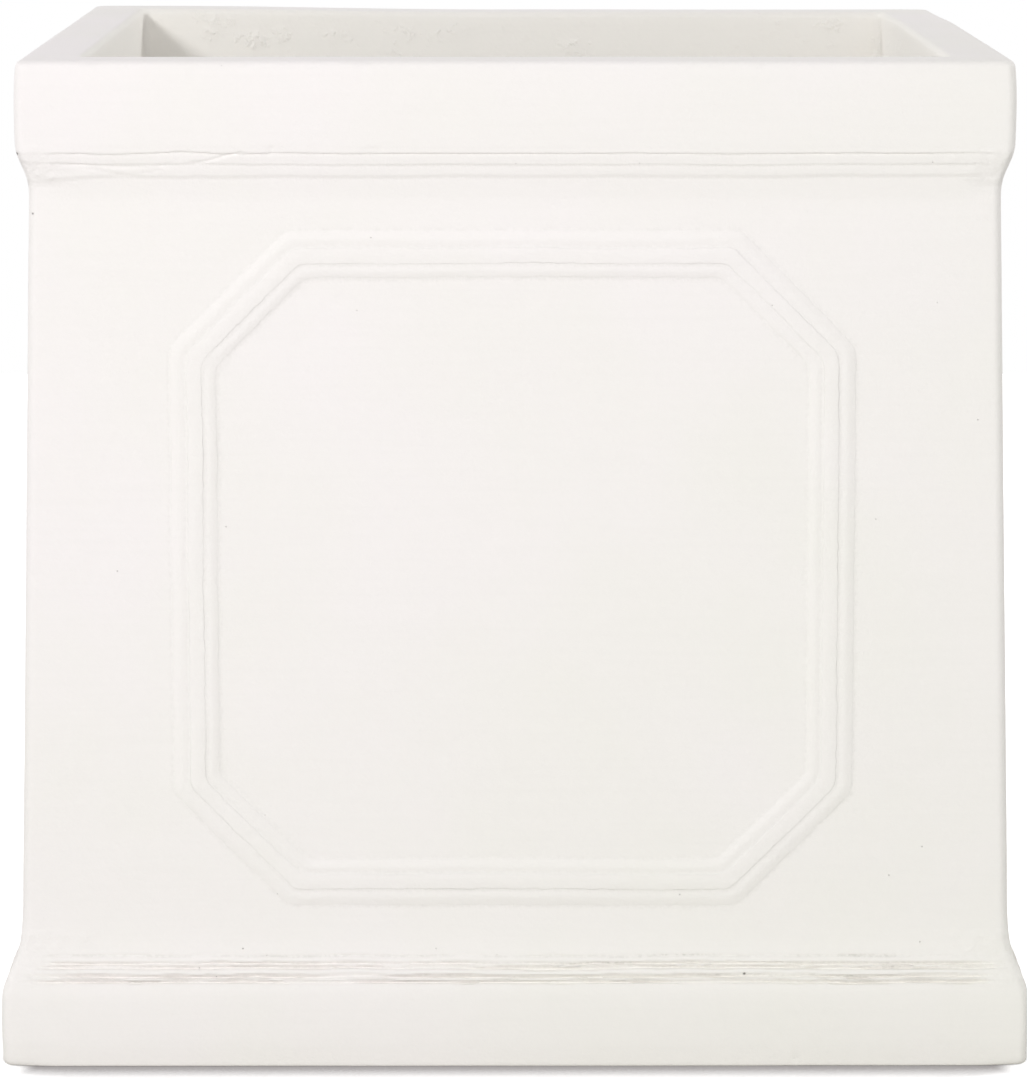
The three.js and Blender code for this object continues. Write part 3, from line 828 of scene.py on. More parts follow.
# %% [markdown]
# Every cast and trowelled face has the same kind of unevenness: slow waves, long level streaks
# from the float or the brush, and a fine crumb. One group adds these up with the marks above.
# It reads the place in the room, so two pieces that meet at a corner move together there and
# leave no gap.

# %% The hand finish group
finish_rule, given = new_tree(
    "Hand finish",
    [
        ("Place", "Vector"), ("Marks", "Object"), ("Rough", "Float"),
        ("Waves", "Float", 0.0008), ("Streaks", "Float", 0.00012), ("Crumb", "Float", 0.00010),
        ("Lumps", "Float", 0.0012), ("Seed", "Int", 3),
    ],
    [("Height", "Float")],
)
t = finish_rule
shift = add(t, "ShaderNodeCombineXYZ", {"X": given["Seed"]})
place = add(t, "ShaderNodeVectorMath", {0: given["Place"], 1: shift}, operation="ADD")
waves = add(t, "ShaderNodeTexNoise", {"Vector": place, "Scale": 7.0, "Detail": 3.0})
level = add(t, "ShaderNodeVectorMath", {0: place, 1: (9, 9, 150)}, operation="MULTIPLY")
streaks = add(t, "ShaderNodeTexNoise", {"Vector": level, "Scale": 1.0, "Detail": 4.0})
crumb = add(t, "ShaderNodeTexNoise", {"Vector": place, "Scale": 230.0, "Detail": 3.0})
lumps = add(t, "ShaderNodeTexNoise", {"Vector": place, "Scale": 42.0, "Detail": 4.0})
lump_high = add(
    t, "ShaderNodeMath", {0: given["Lumps"], 1: given["Rough"]}, operation="MULTIPLY"
)
total = 0.0
for noise, high in (
    (waves, given["Waves"]),
    (streaks, given["Streaks"]),
    (crumb, given["Crumb"]),
    (lumps, lump_high),
):
    centred = add(t, "ShaderNodeMath", {0: noise, 1: 0.5}, operation="SUBTRACT")
    total = add(t, "ShaderNodeMath", {0: centred, 1: high, 2: total}, operation="MULTIPLY_ADD")

cloud = add(t, "GeometryNodeObjectInfo", {"Object": given["Marks"]}, out="Geometry")
nearest = add(
    t, "GeometryNodeSampleNearest", {"Geometry": cloud, "Sample Position": given["Place"]}
)
mark_facts = {}
for fact in ("radius", "high"):
    held = add(t, "GeometryNodeInputNamedAttribute", {"Name": fact}, data_type="FLOAT")
    mark_facts[fact] = add(
        t, "GeometryNodeSampleIndex", {"Geometry": cloud, "Value": held, "Index": nearest},
        data_type="FLOAT",
    )
spot = add(t, "GeometryNodeInputPosition")
spot = add(
    t, "GeometryNodeSampleIndex", {"Geometry": cloud, "Value": spot, "Index": nearest},
    data_type="FLOAT_VECTOR",
)
away_from = add(
    t, "ShaderNodeVectorMath", {0: given["Place"], 1: spot}, out="Value", operation="DISTANCE"
)
near = add(
    t,
    "ShaderNodeMapRange",
    {"Value": away_from, "From Min": mark_facts["radius"], "From Max": 0.0},
    interpolation_type="SMOOTHSTEP",
)
total = add(
    t, "ShaderNodeMath", {0: near, 1: mark_facts["high"], 2: total}, operation="MULTIPLY_ADD"
)
add(t, "NodeGroupOutput", {"Height": total}, out=None)
print("hand finish group has", len(t.nodes), "nodes")

# %% [markdown]
# The wall tree puts the groups together. It moves each point outwards by the sum of the frame,
# the level beads and the hand finish, and keeps how deep in a groove the point lies, because the
# paint darkens the grooves, partly as dust and thin paint and partly as painted shade, and the
# material will want to know. It ends by realising what it made and setting the paint, and the raw
# material inside.

# %% The wall tree
wall_tree, given = new_tree(
    "Moulded wall",
    [
        ("Geometry", "Geometry"), ("Marks", "Object"),
        ("Paint", "Material"), ("Raw Material", "Material"),
        ("Frame Width", "Float", 0.2770), ("Frame Height", "Float", 0.2764),
        ("Middle Height", "Float", 0.2035), ("Middle Along", "Float", 0.0),
        ("Corner Cut", "Float", 0.047), ("Rubbing", "Float", 0.42), ("Forks", "Float", 0.0),
        ("Seed", "Int", 3),
    ],
)
t = wall_tree
place = add(t, "GeometryNodeInputPosition")
height = add(t, "ShaderNodeSeparateXYZ", {0: place}, out="Z")
facts = {}
for fact, kind in (
    ("along", "FLOAT"), ("from_corner", "FLOAT"), ("swell", "FLOAT"), ("raw", "FLOAT"),
    ("outward", "FLOAT_VECTOR"),
):
    facts[fact] = add(t, "GeometryNodeInputNamedAttribute", {"Name": fact}, data_type=kind)
along = add(
    t, "ShaderNodeMath", {0: facts["along"], 1: given["Middle Along"]}, operation="SUBTRACT"
)
framed = add(
    t,
    "GeometryNodeGroup",
    {
        "Along": along, "Up": height, "Place": place, "Frame Width": given["Frame Width"],
        "Frame Height": given["Frame Height"], "Middle Height": given["Middle Height"],
        "Corner Cut": given["Corner Cut"], "Rubbing": given["Rubbing"],
    },
    out=None,
    node_tree=frame_rule,
)
levelled = add(
    t,
    "GeometryNodeGroup",
    {
        "Up": height, "Along": facts["along"], "Place": place,
        "From Corner": facts["from_corner"], "Swell": facts["swell"], "Forks": given["Forks"],
    },
    out=None,
    node_tree=level_rule,
)
finished = add(
    t,
    "GeometryNodeGroup",
    {"Place": place, "Marks": given["Marks"], "Rough": facts["raw"], "Seed": given["Seed"]},
    node_tree=finish_rule,
)
level_place = add(t, "ShaderNodeVectorMath", {0: place, 1: (1, 1, 0)}, operation="MULTIPLY")
faces_out = add(
    t, "ShaderNodeVectorMath", {0: facts["outward"], 1: level_place}, out="Value",
    operation="DOT_PRODUCT",
)
is_outside = add(t, "ShaderNodeMath", {0: faces_out, 1: 0.08}, operation="GREATER_THAN")
not_raw = add(t, "ShaderNodeMath", {0: 1.0, 1: facts["raw"]}, operation="SUBTRACT")
outside = add(t, "ShaderNodeMath", {0: is_outside, 1: not_raw}, operation="MULTIPLY")
crumble = add(t, "ShaderNodeTexNoise", {"Vector": place, "Scale": 420.0, "Detail": 2.0})
crumble = add(t, "ShaderNodeMath", {0: crumble, 1: 0.5}, operation="SUBTRACT")
crumble = add(t, "ShaderNodeMath", {0: crumble, 1: 0.0003}, operation="MULTIPLY")
crumble = add(
    t, "ShaderNodeMath", {0: crumble, 1: framed.outputs["Zone"], 2: framed.outputs["Height"]},
    operation="MULTIPLY_ADD",
)
moulded = add(
    t, "ShaderNodeMath", {0: crumble, 1: levelled.outputs["Height"]}, operation="ADD"
)
rise = add(t, "ShaderNodeMath", {0: moulded, 1: outside, 2: finished}, operation="MULTIPLY_ADD")
move = add(t, "ShaderNodeVectorMath", {0: facts["outward"], 3: rise}, operation="SCALE")
shaped = add(t, "GeometryNodeSetPosition", {"Geometry": given["Geometry"], "Offset": move})
low = add(
    t, "ShaderNodeMath", {0: framed.outputs["Hollow"], 1: levelled.outputs["Hollow"]},
    operation="ADD",
)
low = add(t, "ShaderNodeMath", {0: low, 1: outside}, operation="MULTIPLY", use_clamp=True)
kept = add(
    t, "GeometryNodeStoreNamedAttribute", {"Geometry": shaped, "Name": "hollow", "Value": low},
    data_type="FLOAT", domain="POINT",
)
kept = add(
    t, "GeometryNodeStoreNamedAttribute",
    {"Geometry": kept, "Name": "inset", "Value": framed.outputs["Inset"]},
    data_type="FLOAT", domain="POINT",
)
real = add(t, "GeometryNodeRealizeInstances", {"Geometry": kept})
painted = add(t, "GeometryNodeSetMaterial", {"Geometry": real, "Material": given["Paint"]})
is_raw = add(t, "ShaderNodeMath", {0: facts["raw"], 1: 0.6}, operation="GREATER_THAN")
both = add(
    t, "GeometryNodeSetMaterial",
    {"Geometry": painted, "Selection": is_raw, "Material": given["Raw Material"]},
)
add(t, "NodeGroupOutput", {"Geometry": both}, out=None)
print("wall tree has", len(t.nodes), "nodes")

# %% [markdown]
# ## Paint
# The outside is painted with matt masonry paint, a chalky acrylic that is brushed or sprayed on
# cement. It gives the eye a warm white with almost no gloss, slow pinkish and greenish shifts
# where it went on thinner or thicker, faint level brush lines, and pinholes where air left the
# cement, which are coloured dark as painted shade. Painted shade also makes the white a little
# darker and yellower towards the lower right, and painted light makes it brighter inside the rim.
# The grooves are darkened, partly as dust and partly as painted shade, and the colour goes a
# little darker along the foot.

# %% Masonry paint


def new_material(name):
    """A material with an empty tree."""
    made = bpy.data.materials.new(name)
    made.use_nodes = True
    made.node_tree.nodes.clear()
    return made, made.node_tree


PINHOLES = [  # on the front: along, height and radius in millimetres, below 0 for a faint one
    (-193.2, 348.2, 0.10), (0.2, 368.6, -0.15), (49.6, 368.6, -0.15), (166.6, 369.0, -0.10),
    (-199.0, 372.3, 0.40), (93.5, 38.2, 0.32), (-111.2, 48.0, 0.0), (-101.5, 45.2, -0.10),
    (-32.4, 48.0, -0.10), (165.4, 50.5, -0.05), (-101.9, 103.2, -0.15), (-97.1, 70.5, -0.10),
    (103.1, 311.4, -0.10), (145.7, 224.7, -0.10), (-129.0, 40.2, -0.05), (-122.0, 37.0, 0.0),
    (-7.5, 45.5, -0.15), (60.2, 372.0, -0.2),
]
WORN_BANDS = [(359, 376), (33, 56)]  # heights where the corners' mouldings are chipped
FLANKS = [  # steep little sides of the frame's beads, from its outer edge in: from, to, rise
    (0.4, 1.0, 0.12), (7.0, 7.6, 0.22), (13.1, 13.7, -0.22), (18.6, 19.3, -0.13),
]
paint, t = new_material("matt masonry paint")
place = add(t, "ShaderNodeTexCoord", out="Object")

tone = add(t, "ShaderNodeTexNoise", {"Vector": place, "Scale": 11.0, "Detail": 3.0})
tone = add(t, "ShaderNodeMapRange", {"Value": tone, "From Min": 0.35, "From Max": 0.65})
# painted shade: the white turns a little darker and yellower towards the lower right
lower_right_shade = add(
    t, "ShaderNodeVectorMath", {0: place, 1: (1, 0, -1)}, out="Value", operation="DOT_PRODUCT"
)
lower_right_shade = add(
    t, "ShaderNodeMapRange",
    {"Value": lower_right_shade, "From Min": -0.46, "From Max": 0.10, "To Min": 0.0, "To Max": 0.6},
)
tone = add(t, "ShaderNodeMath", {0: tone, 1: 0.4, 2: lower_right_shade}, operation="MULTIPLY_ADD")
colour = add(
    t, "ShaderNodeMix", {0: tone, 6: linear("#F8F3F3"), 7: linear("#F4F2EC")}, out=2,
    data_type="RGBA",
)
aside = add(t, "ShaderNodeVectorMath", {0: place, 1: (1, 1, 0)}, operation="MULTIPLY")
aside = add(t, "ShaderNodeVectorMath", {0: aside}, operation="ABSOLUTE")
sides = add(t, "ShaderNodeSeparateXYZ", {0: aside}, out=None)
aside = add(
    t, "ShaderNodeMath", {0: sides.outputs["X"], 1: sides.outputs["Y"]}, operation="MAXIMUM"
)
at_corner = add(
    t, "ShaderNodeMath", {0: sides.outputs["X"], 1: sides.outputs["Y"]}, operation="MINIMUM"
)
in_mouth = add(
    t, "ShaderNodeMapRange",
    {
        "Value": aside, "From Min": (RIM_INNER_HALF + 2.5) * MM,
        "From Max": (RIM_INNER_HALF + 1) * MM,
    },
)
# painted light: the inside face of the rim gets a brighter white than the outside
colour = add(
    t, "ShaderNodeMix", {0: in_mouth, 6: colour, 7: linear("#FDFAF5")}, out=2, data_type="RGBA"
)
level = add(t, "ShaderNodeVectorMath", {0: place, 1: (16, 16, 420)}, operation="MULTIPLY")
brushed = add(t, "ShaderNodeTexNoise", {"Vector": level, "Scale": 1.0, "Detail": 5.0, "Roughness": 0.6})
brush_share = add(
    t, "ShaderNodeMapRange",
    {"Value": brushed, "From Min": 0.45, "From Max": 0.75, "To Min": 0.0, "To Max": 0.06},
)
colour = add(
    t, "ShaderNodeMix", {0: brush_share, 6: colour, 7: linear("#E6E4DF")}, out=2, data_type="RGBA"
)
hollow = add(t, "ShaderNodeAttribute", out="Fac", attribute_name="hollow")
dashes = add(t, "ShaderNodeVectorMath", {0: place, 1: (32, 32, 300)}, operation="MULTIPLY")
dashes = add(t, "ShaderNodeTexNoise", {"Vector": dashes, "Scale": 1.0, "Detail": 5.0})
dashes = add(
    t, "ShaderNodeMapRange",
    {"Value": dashes, "From Min": 0.53, "From Max": 0.72, "To Min": 0.05, "To Max": 0.40},
)
height = add(t, "ShaderNodeSeparateXYZ", {0: place}, out="Z")
in_lines = add(t, "ShaderNodeMath", {0: height, 1: 0.052}, operation="LESS_THAN")
dashes = add(t, "ShaderNodeMath", {0: dashes, 1: in_lines, 2: 0.05}, operation="MULTIPLY_ADD")
grit = add(t, "ShaderNodeTexNoise", {"Vector": place, "Scale": 520.0, "Detail": 2.0})
grit = add(
    t, "ShaderNodeMapRange",
    {"Value": grit, "From Min": 0.42, "From Max": 0.60, "To Min": 0.25, "To Max": 1.5},
)
dashes = add(t, "ShaderNodeMath", {0: dashes, 1: grit}, operation="MULTIPLY")
# the grooves are darkened, partly as dust and partly as painted shade
dust_and_shade = add(t, "ShaderNodeMath", {0: hollow, 1: dashes}, operation="MULTIPLY")
colour = add(
    t, "ShaderNodeMix", {0: dust_and_shade, 6: colour, 7: linear("#B7B4AB")}, out=2, data_type="RGBA"
)
# the colour goes a little darker over the last 12 mm above the floor
foot = add(
    t, "ShaderNodeMapRange",
    {"Value": height, "From Min": 0.012, "From Max": 0.0, "To Min": 0.0, "To Max": 0.12},
)
colour = add(
    t, "ShaderNodeMix", {0: foot, 6: colour, 7: linear("#CFC8BC")}, out=2, data_type="RGBA"
)

flat_place = add(t, "ShaderNodeVectorMath", {0: place, 1: (1, 0, 1)}, operation="MULTIPLY")
nearest = 1.0
for along, up, radius in PINHOLES:
    off = add(
        t, "ShaderNodeVectorMath", {0: flat_place, 1: (along * MM, 0, up * MM)},
        out="Value", operation="DISTANCE",
    )
    off = add(t, "ShaderNodeMath", {0: off, 1: radius * MM}, operation="SUBTRACT")
    nearest = add(t, "ShaderNodeMath", {0: nearest, 1: off}, operation="MINIMUM")
hole = add(
    t, "ShaderNodeMapRange",
    {"Value": nearest, "From Min": 0.0004, "From Max": -0.0003, "To Min": 0.0, "To Max": 1.0},
)
depth = add(t, "ShaderNodeSeparateXYZ", {0: place}, out="Y")
is_front = add(t, "ShaderNodeMath", {0: depth, 1: -0.19}, operation="LESS_THAN")
hole = add(t, "ShaderNodeMath", {0: hole, 1: is_front}, operation="MULTIPLY")
cells = add(
    t, "ShaderNodeTexVoronoi", {"Vector": place, "Scale": 36.0, "Randomness": 1.0}, out="Distance"
)
stray = add(
    t, "ShaderNodeMapRange",
    {"Value": cells, "From Min": 0.013, "From Max": 0.007, "To Min": 0.0, "To Max": 0.3},
)
hole = add(t, "ShaderNodeMath", {0: hole, 1: stray}, operation="MAXIMUM")
# painted shade: the pinholes and stray pits are coloured dark for the shade inside them
colour = add(
    t, "ShaderNodeMix", {0: hole, 6: colour, 7: linear("#5A534A")}, out=2, data_type="RGBA"
)

inset = add(t, "ShaderNodeAttribute", out="Fac", attribute_name="inset")
frayed = add(t, "ShaderNodeTexNoise", {"Vector": place, "Scale": 160.0, "Detail": 5.0, "Roughness": 0.6})
frayed = add(t, "ShaderNodeMath", {0: frayed, 1: 0.5}, operation="SUBTRACT")
inset = add(t, "ShaderNodeMath", {0: frayed, 1: 0.0018, 2: inset}, operation="MULTIPLY_ADD")
flank = 0.0
for start, end, high in FLANKS:
    one = add(
        t, "ShaderNodeMapRange",
        {"Value": inset, "From Min": start * MM, "From Max": end * MM, "To Max": high * MM},
        interpolation_type="SMOOTHSTEP",
    )
    flank = add(t, "ShaderNodeMath", {0: flank, 1: one}, operation="ADD")
rubbed = add(t, "ShaderNodeTexNoise", {"Vector": place, "Scale": 30.0, "Detail": 4.0})
rubbed = add(
    t, "ShaderNodeMapRange", {"Value": rubbed, "From Min": 0.35, "From Max": 0.65, "To Min": 1.0, "To Max": 0.5}
)
grain = add(t, "ShaderNodeTexNoise", {"Vector": place, "Scale": 750.0, "Detail": 4.0})
skin = add(t, "ShaderNodeMath", {0: flank, 1: rubbed}, operation="MULTIPLY")
skin = add(t, "ShaderNodeMath", {0: grain, 1: 0.00016, 2: skin}, operation="MULTIPLY_ADD")
skin = add(t, "ShaderNodeMath", {0: brushed, 1: 0.00004, 2: skin}, operation="MULTIPLY_ADD")
skin = add(t, "ShaderNodeMath", {0: hole, 1: -0.0008, 2: skin}, operation="MULTIPLY_ADD")
torn = add(t, "ShaderNodeTexNoise", {"Vector": place, "Scale": 110.0, "Detail": 3.0})
torn = add(t, "ShaderNodeMath", {0: torn, 1: 0.5}, operation="SUBTRACT")
ragged = add(t, "ShaderNodeMath", {0: torn, 1: 0.03, 2: at_corner}, operation="MULTIPLY_ADD")
chipped = add(
    t, "ShaderNodeMapRange", {"Value": ragged, "From Min": 0.170, "From Max": 0.194},
    interpolation_type="SMOOTHSTEP",
)
in_bands = 0.0
for low_end, high_end in WORN_BANDS:
    middle = add(
        t, "ShaderNodeMath", {0: height, 1: (low_end + high_end) / 2 * MM}, operation="SUBTRACT"
    )
    middle = add(t, "ShaderNodeMath", {0: middle}, operation="ABSOLUTE")
    band = add(
        t, "ShaderNodeMapRange",
        {
            "Value": middle, "From Min": (high_end - low_end) / 2 * MM,
            "From Max": (high_end - low_end) / 2 * MM - 0.003,
        },
    )
    in_bands = add(t, "ShaderNodeMath", {0: in_bands, 1: band}, operation="MAXIMUM")
chipped = add(t, "ShaderNodeMath", {0: chipped, 1: in_bands}, operation="MULTIPLY")
chips = add(t, "ShaderNodeTexNoise", {"Vector": place, "Scale": 210.0, "Detail": 3.0})
chips = add(t, "ShaderNodeMath", {0: chips, 1: chipped}, operation="MULTIPLY")
skin = add(t, "ShaderNodeMath", {0: chips, 1: 0.0009, 2: skin}, operation="MULTIPLY_ADD")
crumbs = 1.0
for along, up, radius, _ in BACK_LUMPS:  # lumps of mortar left on the far wall
    off = add(
        t, "ShaderNodeVectorMath", {0: place, 1: (along * MM, RIM_INNER_HALF * MM, up * MM)},
        operation="SUBTRACT",
    )
    off = add(t, "ShaderNodeVectorMath", {0: off, 1: (1, 1, 1.7)}, operation="MULTIPLY")
    off = add(t, "ShaderNodeVectorMath", {0: off}, out="Value", operation="LENGTH")
    off = add(t, "ShaderNodeMath", {0: off, 1: 2.6 * radius * MM}, operation="DIVIDE")
    crumbs = add(t, "ShaderNodeMath", {0: crumbs, 1: off}, operation="MINIMUM")
crumbs = add(t, "ShaderNodeMath", {0: torn, 1: 2.6, 2: crumbs}, operation="MULTIPLY_ADD")
crumbs = add(
    t, "ShaderNodeMapRange", {"Value": crumbs, "From Min": 0.95, "From Max": 0.35},
    interpolation_type="SMOOTHSTEP",
)
crumbly = add(t, "ShaderNodeTexNoise", {"Vector": place, "Scale": 330.0, "Detail": 2.0})
crumbly = add(
    t, "ShaderNodeMapRange", {"Value": crumbly, "From Min": 0.48, "From Max": 0.70},
)
crumbly = add(t, "ShaderNodeMath", {0: crumbly, 1: crumbs}, operation="MULTIPLY")
crumbly = add(t, "ShaderNodeMath", {0: crumbly, 1: in_mouth}, operation="MULTIPLY")
skin = add(t, "ShaderNodeMath", {0: crumbly, 1: 0.00034, 2: skin}, operation="MULTIPLY_ADD")
bump = add(t, "ShaderNodeBump", {"Strength": 1.0, "Distance": 1.0, "Height": skin})
sheen = add(
    t, "ShaderNodeMapRange", {"Value": grain, "To Min": 0.62, "To Max": 0.80}
)
shader = add(
    t, "ShaderNodeBsdfPrincipled",
    {"Base Color": colour, "Roughness": sheen, "IOR": 1.47, "Normal": bump},
)
add(t, "ShaderNodeOutputMaterial", {"Surface": shader}, out=None)
print("paint has", len(t.nodes), "nodes")

# %% [markdown]
# Inside, the paint stops under the thick rim. A thin pale slurry coat goes on from there and ends
# in a ragged line a third of the way up the wall. Below it the cement is bare: pale grey, rough
# from the trowel and freckled with fine sand.

# %% Bare trowelled cement
cement, t = new_material("trowelled glass-fibre cement")
place = add(t, "ShaderNodeTexCoord", out="Object")
tone = add(t, "ShaderNodeTexNoise", {"Vector": place, "Scale": 24.0, "Detail": 5.0})
tone = add(t, "ShaderNodeMapRange", {"Value": tone, "From Min": 0.3, "From Max": 0.7})
colour = add(
    t, "ShaderNodeMix", {0: tone, 6: linear("#F5F3EE"), 7: linear("#EAE7E0")}, out=2,
    data_type="RGBA",
)
sand = add(t, "ShaderNodeTexNoise", {"Vector": place, "Scale": 900.0, "Detail": 2.0})
speck = add(
    t, "ShaderNodeMapRange",
    {"Value": sand, "From Min": 0.62, "From Max": 0.72, "To Min": 0.0, "To Max": 0.5},
)
colour = add(
    t, "ShaderNodeMix", {0: speck, 6: colour, 7: linear("#9C978C")}, out=2, data_type="RGBA"
)
height = add(t, "ShaderNodeSeparateXYZ", {0: place}, out="Z")
drip = add(t, "ShaderNodeTexNoise", {"Vector": place, "Scale": 30.0, "Detail": 4.0})
line = add(t, "ShaderNodeMath", {0: drip, 1: 0.05, 2: height}, operation="MULTIPLY_ADD")
coated = add(
    t, "ShaderNodeMapRange",
    {"Value": line, "From Min": 0.120, "From Max": 0.150, "To Min": 0.0, "To Max": 1.0},
)
colour = add(
    t, "ShaderNodeMix", {0: coated, 6: colour, 7: linear("#FCFAF6")}, out=2, data_type="RGBA"
)
swept = add(t, "ShaderNodeVectorMath", {0: place, 1: (60, 60, 260)}, operation="MULTIPLY")
trowel = add(t, "ShaderNodeTexNoise", {"Vector": swept, "Scale": 1.0, "Detail": 4.0})
skin = add(t, "ShaderNodeMath", {0: sand, 1: 0.0004}, operation="MULTIPLY")
skin = add(t, "ShaderNodeMath", {0: trowel, 1: 0.0005, 2: skin}, operation="MULTIPLY_ADD")
bump = add(t, "ShaderNodeBump", {"Strength": 1.0, "Distance": 1.0, "Height": skin})
shader = add(
    t, "ShaderNodeBsdfPrincipled",
    {"Base Color": colour, "Roughness": 0.92, "IOR": 1.5, "Normal": bump},
)
add(t, "ShaderNodeOutputMaterial", {"Surface": shader}, out=None)
print("cement has", len(t.nodes), "nodes")

# %% [markdown]
# ## Growing a piece
# A tree only shows its work while its modifier is on. To hand a piece over, the grown shape is
# turned into a plain mesh and the helper object is thrown away. Points that the finish pushed
# past the planter's real size are brought back to it: the real foot is flat because it stood on a
# bench, and the box of the solids is the size to keep.

# %% Growing and keeping


def grown(name, mesh, tree, values):
    """Runs a tree on a mesh and gives the result back as a plain mesh."""
    helper = bpy.data.objects.new(name, mesh)
    scene.collection.objects.link(helper)
    modifier = helper.modifiers.new("tree", "NODES")
    modifier.node_group = tree
    for item in tree.interface.items_tree:
        if item.item_type == "SOCKET" and item.in_out == "INPUT" and item.name in values:
            modifier[item.identifier] = values[item.name]
    helper.update_tag()
    seen_now = bpy.context.evaluated_depsgraph_get()
    result = bpy.data.meshes.new_from_object(helper.evaluated_get(seen_now))
    bpy.data.objects.remove(helper)
    return result


def kept_inside(mesh):
    """Brings points back inside the box of the solids."""
    points = np.empty(len(mesh.vertices) * 3, np.float32)
    mesh.vertices.foreach_get("co", points)
    low, high = (np.array(corner, np.float32) for corner in cad_box)
    points = np.clip(points.reshape(-1, 3), low + 2e-5, high - 2e-5)
    points[:, 2] = np.maximum(points[:, 2], 0)
    mesh.vertices.foreach_set("co", points.ravel())
    mesh.update()


def handed_over(name, mesh, node, body="casting", sharp=42):
    """Makes a piece of a mesh: smooth shaded but for its real edges, riding on its body."""
    kept_inside(mesh)
    mesh.shade_smooth()
    mesh.set_sharp_from_angle(angle=math.radians(sharp))
    piece = bpy.data.objects.new(name, mesh)
    scene.collection.objects.link(piece)
    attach(piece, body)
    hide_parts(node)
    mesh.calc_loop_triangles()
    litres = volume(mesh)
    print(f"{name}: {len(mesh.loop_triangles)} triangles, {litres:.3f} litres")
    return piece


# %% [markdown]
# ## The four side panels
# On the real planter the four sides come out of one mould, so they share every size. They are
# not twins, though: the hand finish reads the place in the room, and each side is in another.

# %% Side panels
scene.collection.objects.link(mark_cloud)
wall_values = {"Marks": mark_cloud, "Paint": paint, "Raw Material": cement}
SIDES = ("front", "right", "back", "left")
for turns, side in enumerate(SIDES):
    skin_mesh = swept_wall(side, panel_columns(), turns)
    moulding = dict(wall_values)
    if side == "front":
        moulding.update({"Middle Along": -0.0008, "Forks": 1.0})
    shape = grown(side, skin_mesh, wall_tree, moulding)
    handed_over(side + "_panel_cast", shape, side + "_panel")

# %% [markdown]
# ## The filled mitres
# Where two panels meet, the joint is filled with slurry and rubbed flush, so from outside it is
# only the middle of the rounded corner. It is swept from the same outline and moved by the same
# tree, and its edges fall exactly on the panels' edges.

# %% Mitre joints
CORNERS = ("front_right", "back_right", "back_left", "front_left")
for turns, corner_name in enumerate(CORNERS):
    skin_mesh = swept_wall(corner_name, joint_columns(), turns)
    shape = grown(corner_name, skin_mesh, wall_tree, wall_values)
    handed_over(
        "mitre_filling_" + corner_name, shape, "mitre_joint_" + corner_name
    )

# %% [markdown]
# ## Slurry and trowel work inside
# The pieces inside were put in by hand once the box stood: a floor slab on its ledge, a strip of
# slurry round the floor, and one up each corner. Each is built as a plain closed shape and then
# roughened by a tree that uses the same hand finish group. A share kept on the points says where
# a piece is free to be rough and where it lies against its neighbour and must stay put.

# %% The trowelling tree
trowel_tree, given = new_tree(
    "Trowelled piece",
    [
        ("Geometry", "Geometry"), ("Marks", "Object"), ("Material", "Material"),
        ("Lumps", "Float", 0.0012), ("Seed", "Int", 5),
    ],
)
t = trowel_tree
place = add(t, "GeometryNodeInputPosition")
loose = add(t, "GeometryNodeInputNamedAttribute", {"Name": "loose"}, data_type="FLOAT")
height = add(
    t,
    "GeometryNodeGroup",
    {
        "Place": place, "Marks": given["Marks"], "Rough": 1.0, "Lumps": given["Lumps"],
        "Streaks": 0.0003, "Crumb": 0.0004, "Seed": given["Seed"],
    },
    node_tree=finish_rule,
)
height = add(t, "ShaderNodeMath", {0: height, 1: loose}, operation="MULTIPLY")
out = add(t, "GeometryNodeInputNormal")
move = add(t, "ShaderNodeVectorMath", {0: out, 3: height}, operation="SCALE")
shaped = add(t, "GeometryNodeSetPosition", {"Geometry": given["Geometry"], "Offset": move})
real = add(t, "GeometryNodeRealizeInstances", {"Geometry": shaped})
both = add(t, "GeometryNodeSetMaterial", {"Geometry": real, "Material": given["Material"]})
add(t, "NodeGroupOutput", {"Geometry": both}, out=None)
print("trowelling tree has", len(t.nodes), "nodes")

# %% Closed shapes in mesh code


def closed_mesh(name, points, faces, loose=None):
    """A closed mesh of points in millimetres, facing outwards, with its loose share."""
    mesh = bpy.data.meshes.new(name)
    mesh.from_pydata((np.asarray(points, float) * MM).tolist(), [], faces)
    if volume(mesh) < 0:
        mesh.flip_normals()
    if loose is not None:
        put = mesh.attributes.new("loose", "FLOAT", "POINT")
        put.data.foreach_set("value", np.asarray(loose, np.float32).ravel())
    return mesh


def ring_faces(rows, columns):
    """Quads of a grid that closes both ways, like a tyre."""
    i, j = np.meshgrid(np.arange(rows), np.arange(columns), indexing="ij")
    k, m = (i + 1) % rows, (j + 1) % columns
    quads = [i * columns + j, i * columns + m, k * columns + m, k * columns + j]
    return np.stack(quads, -1).reshape(-1, 4).tolist()


def bend(start, control, end, count):
    """Points on a soft curve between two places, drawn towards a third."""
    s = np.linspace(0, 1, count)[:, None]
    start, control, end = (np.array(v, float) for v in (start, control, end))
    return (1 - s) ** 2 * start + 2 * s * (1 - s) * control + s**2 * end


def ripple(values, seed, reach):
    """A slow irregular wave along a piece, at most about reach high."""
    pick = np.random.default_rng(seed)
    wave = sum(
        np.sin(values / pick.uniform(6, 40) + pick.uniform(0, 6)) * pick.uniform(0.3, 1)
        for _ in range(7)
    )
    return reach * wave / 3.2


# %% [markdown]
# A corner cove is a strip of slurry pressed into the corner with a rounded tool. Its two edges are
# feathered out onto the walls, so they wander, and its face is slightly hollow.

# %% Corner coves
COVE_REACH = 18.5
COVE_BED = 0.5
COVE_DRAW = 6.5
cove_heights = np.arange(40, 358.7, 2.4)
wander_a = COVE_REACH + ripple(cove_heights, 21, 1.8)
wander_b = COVE_REACH + ripple(cove_heights, 22, 1.8)


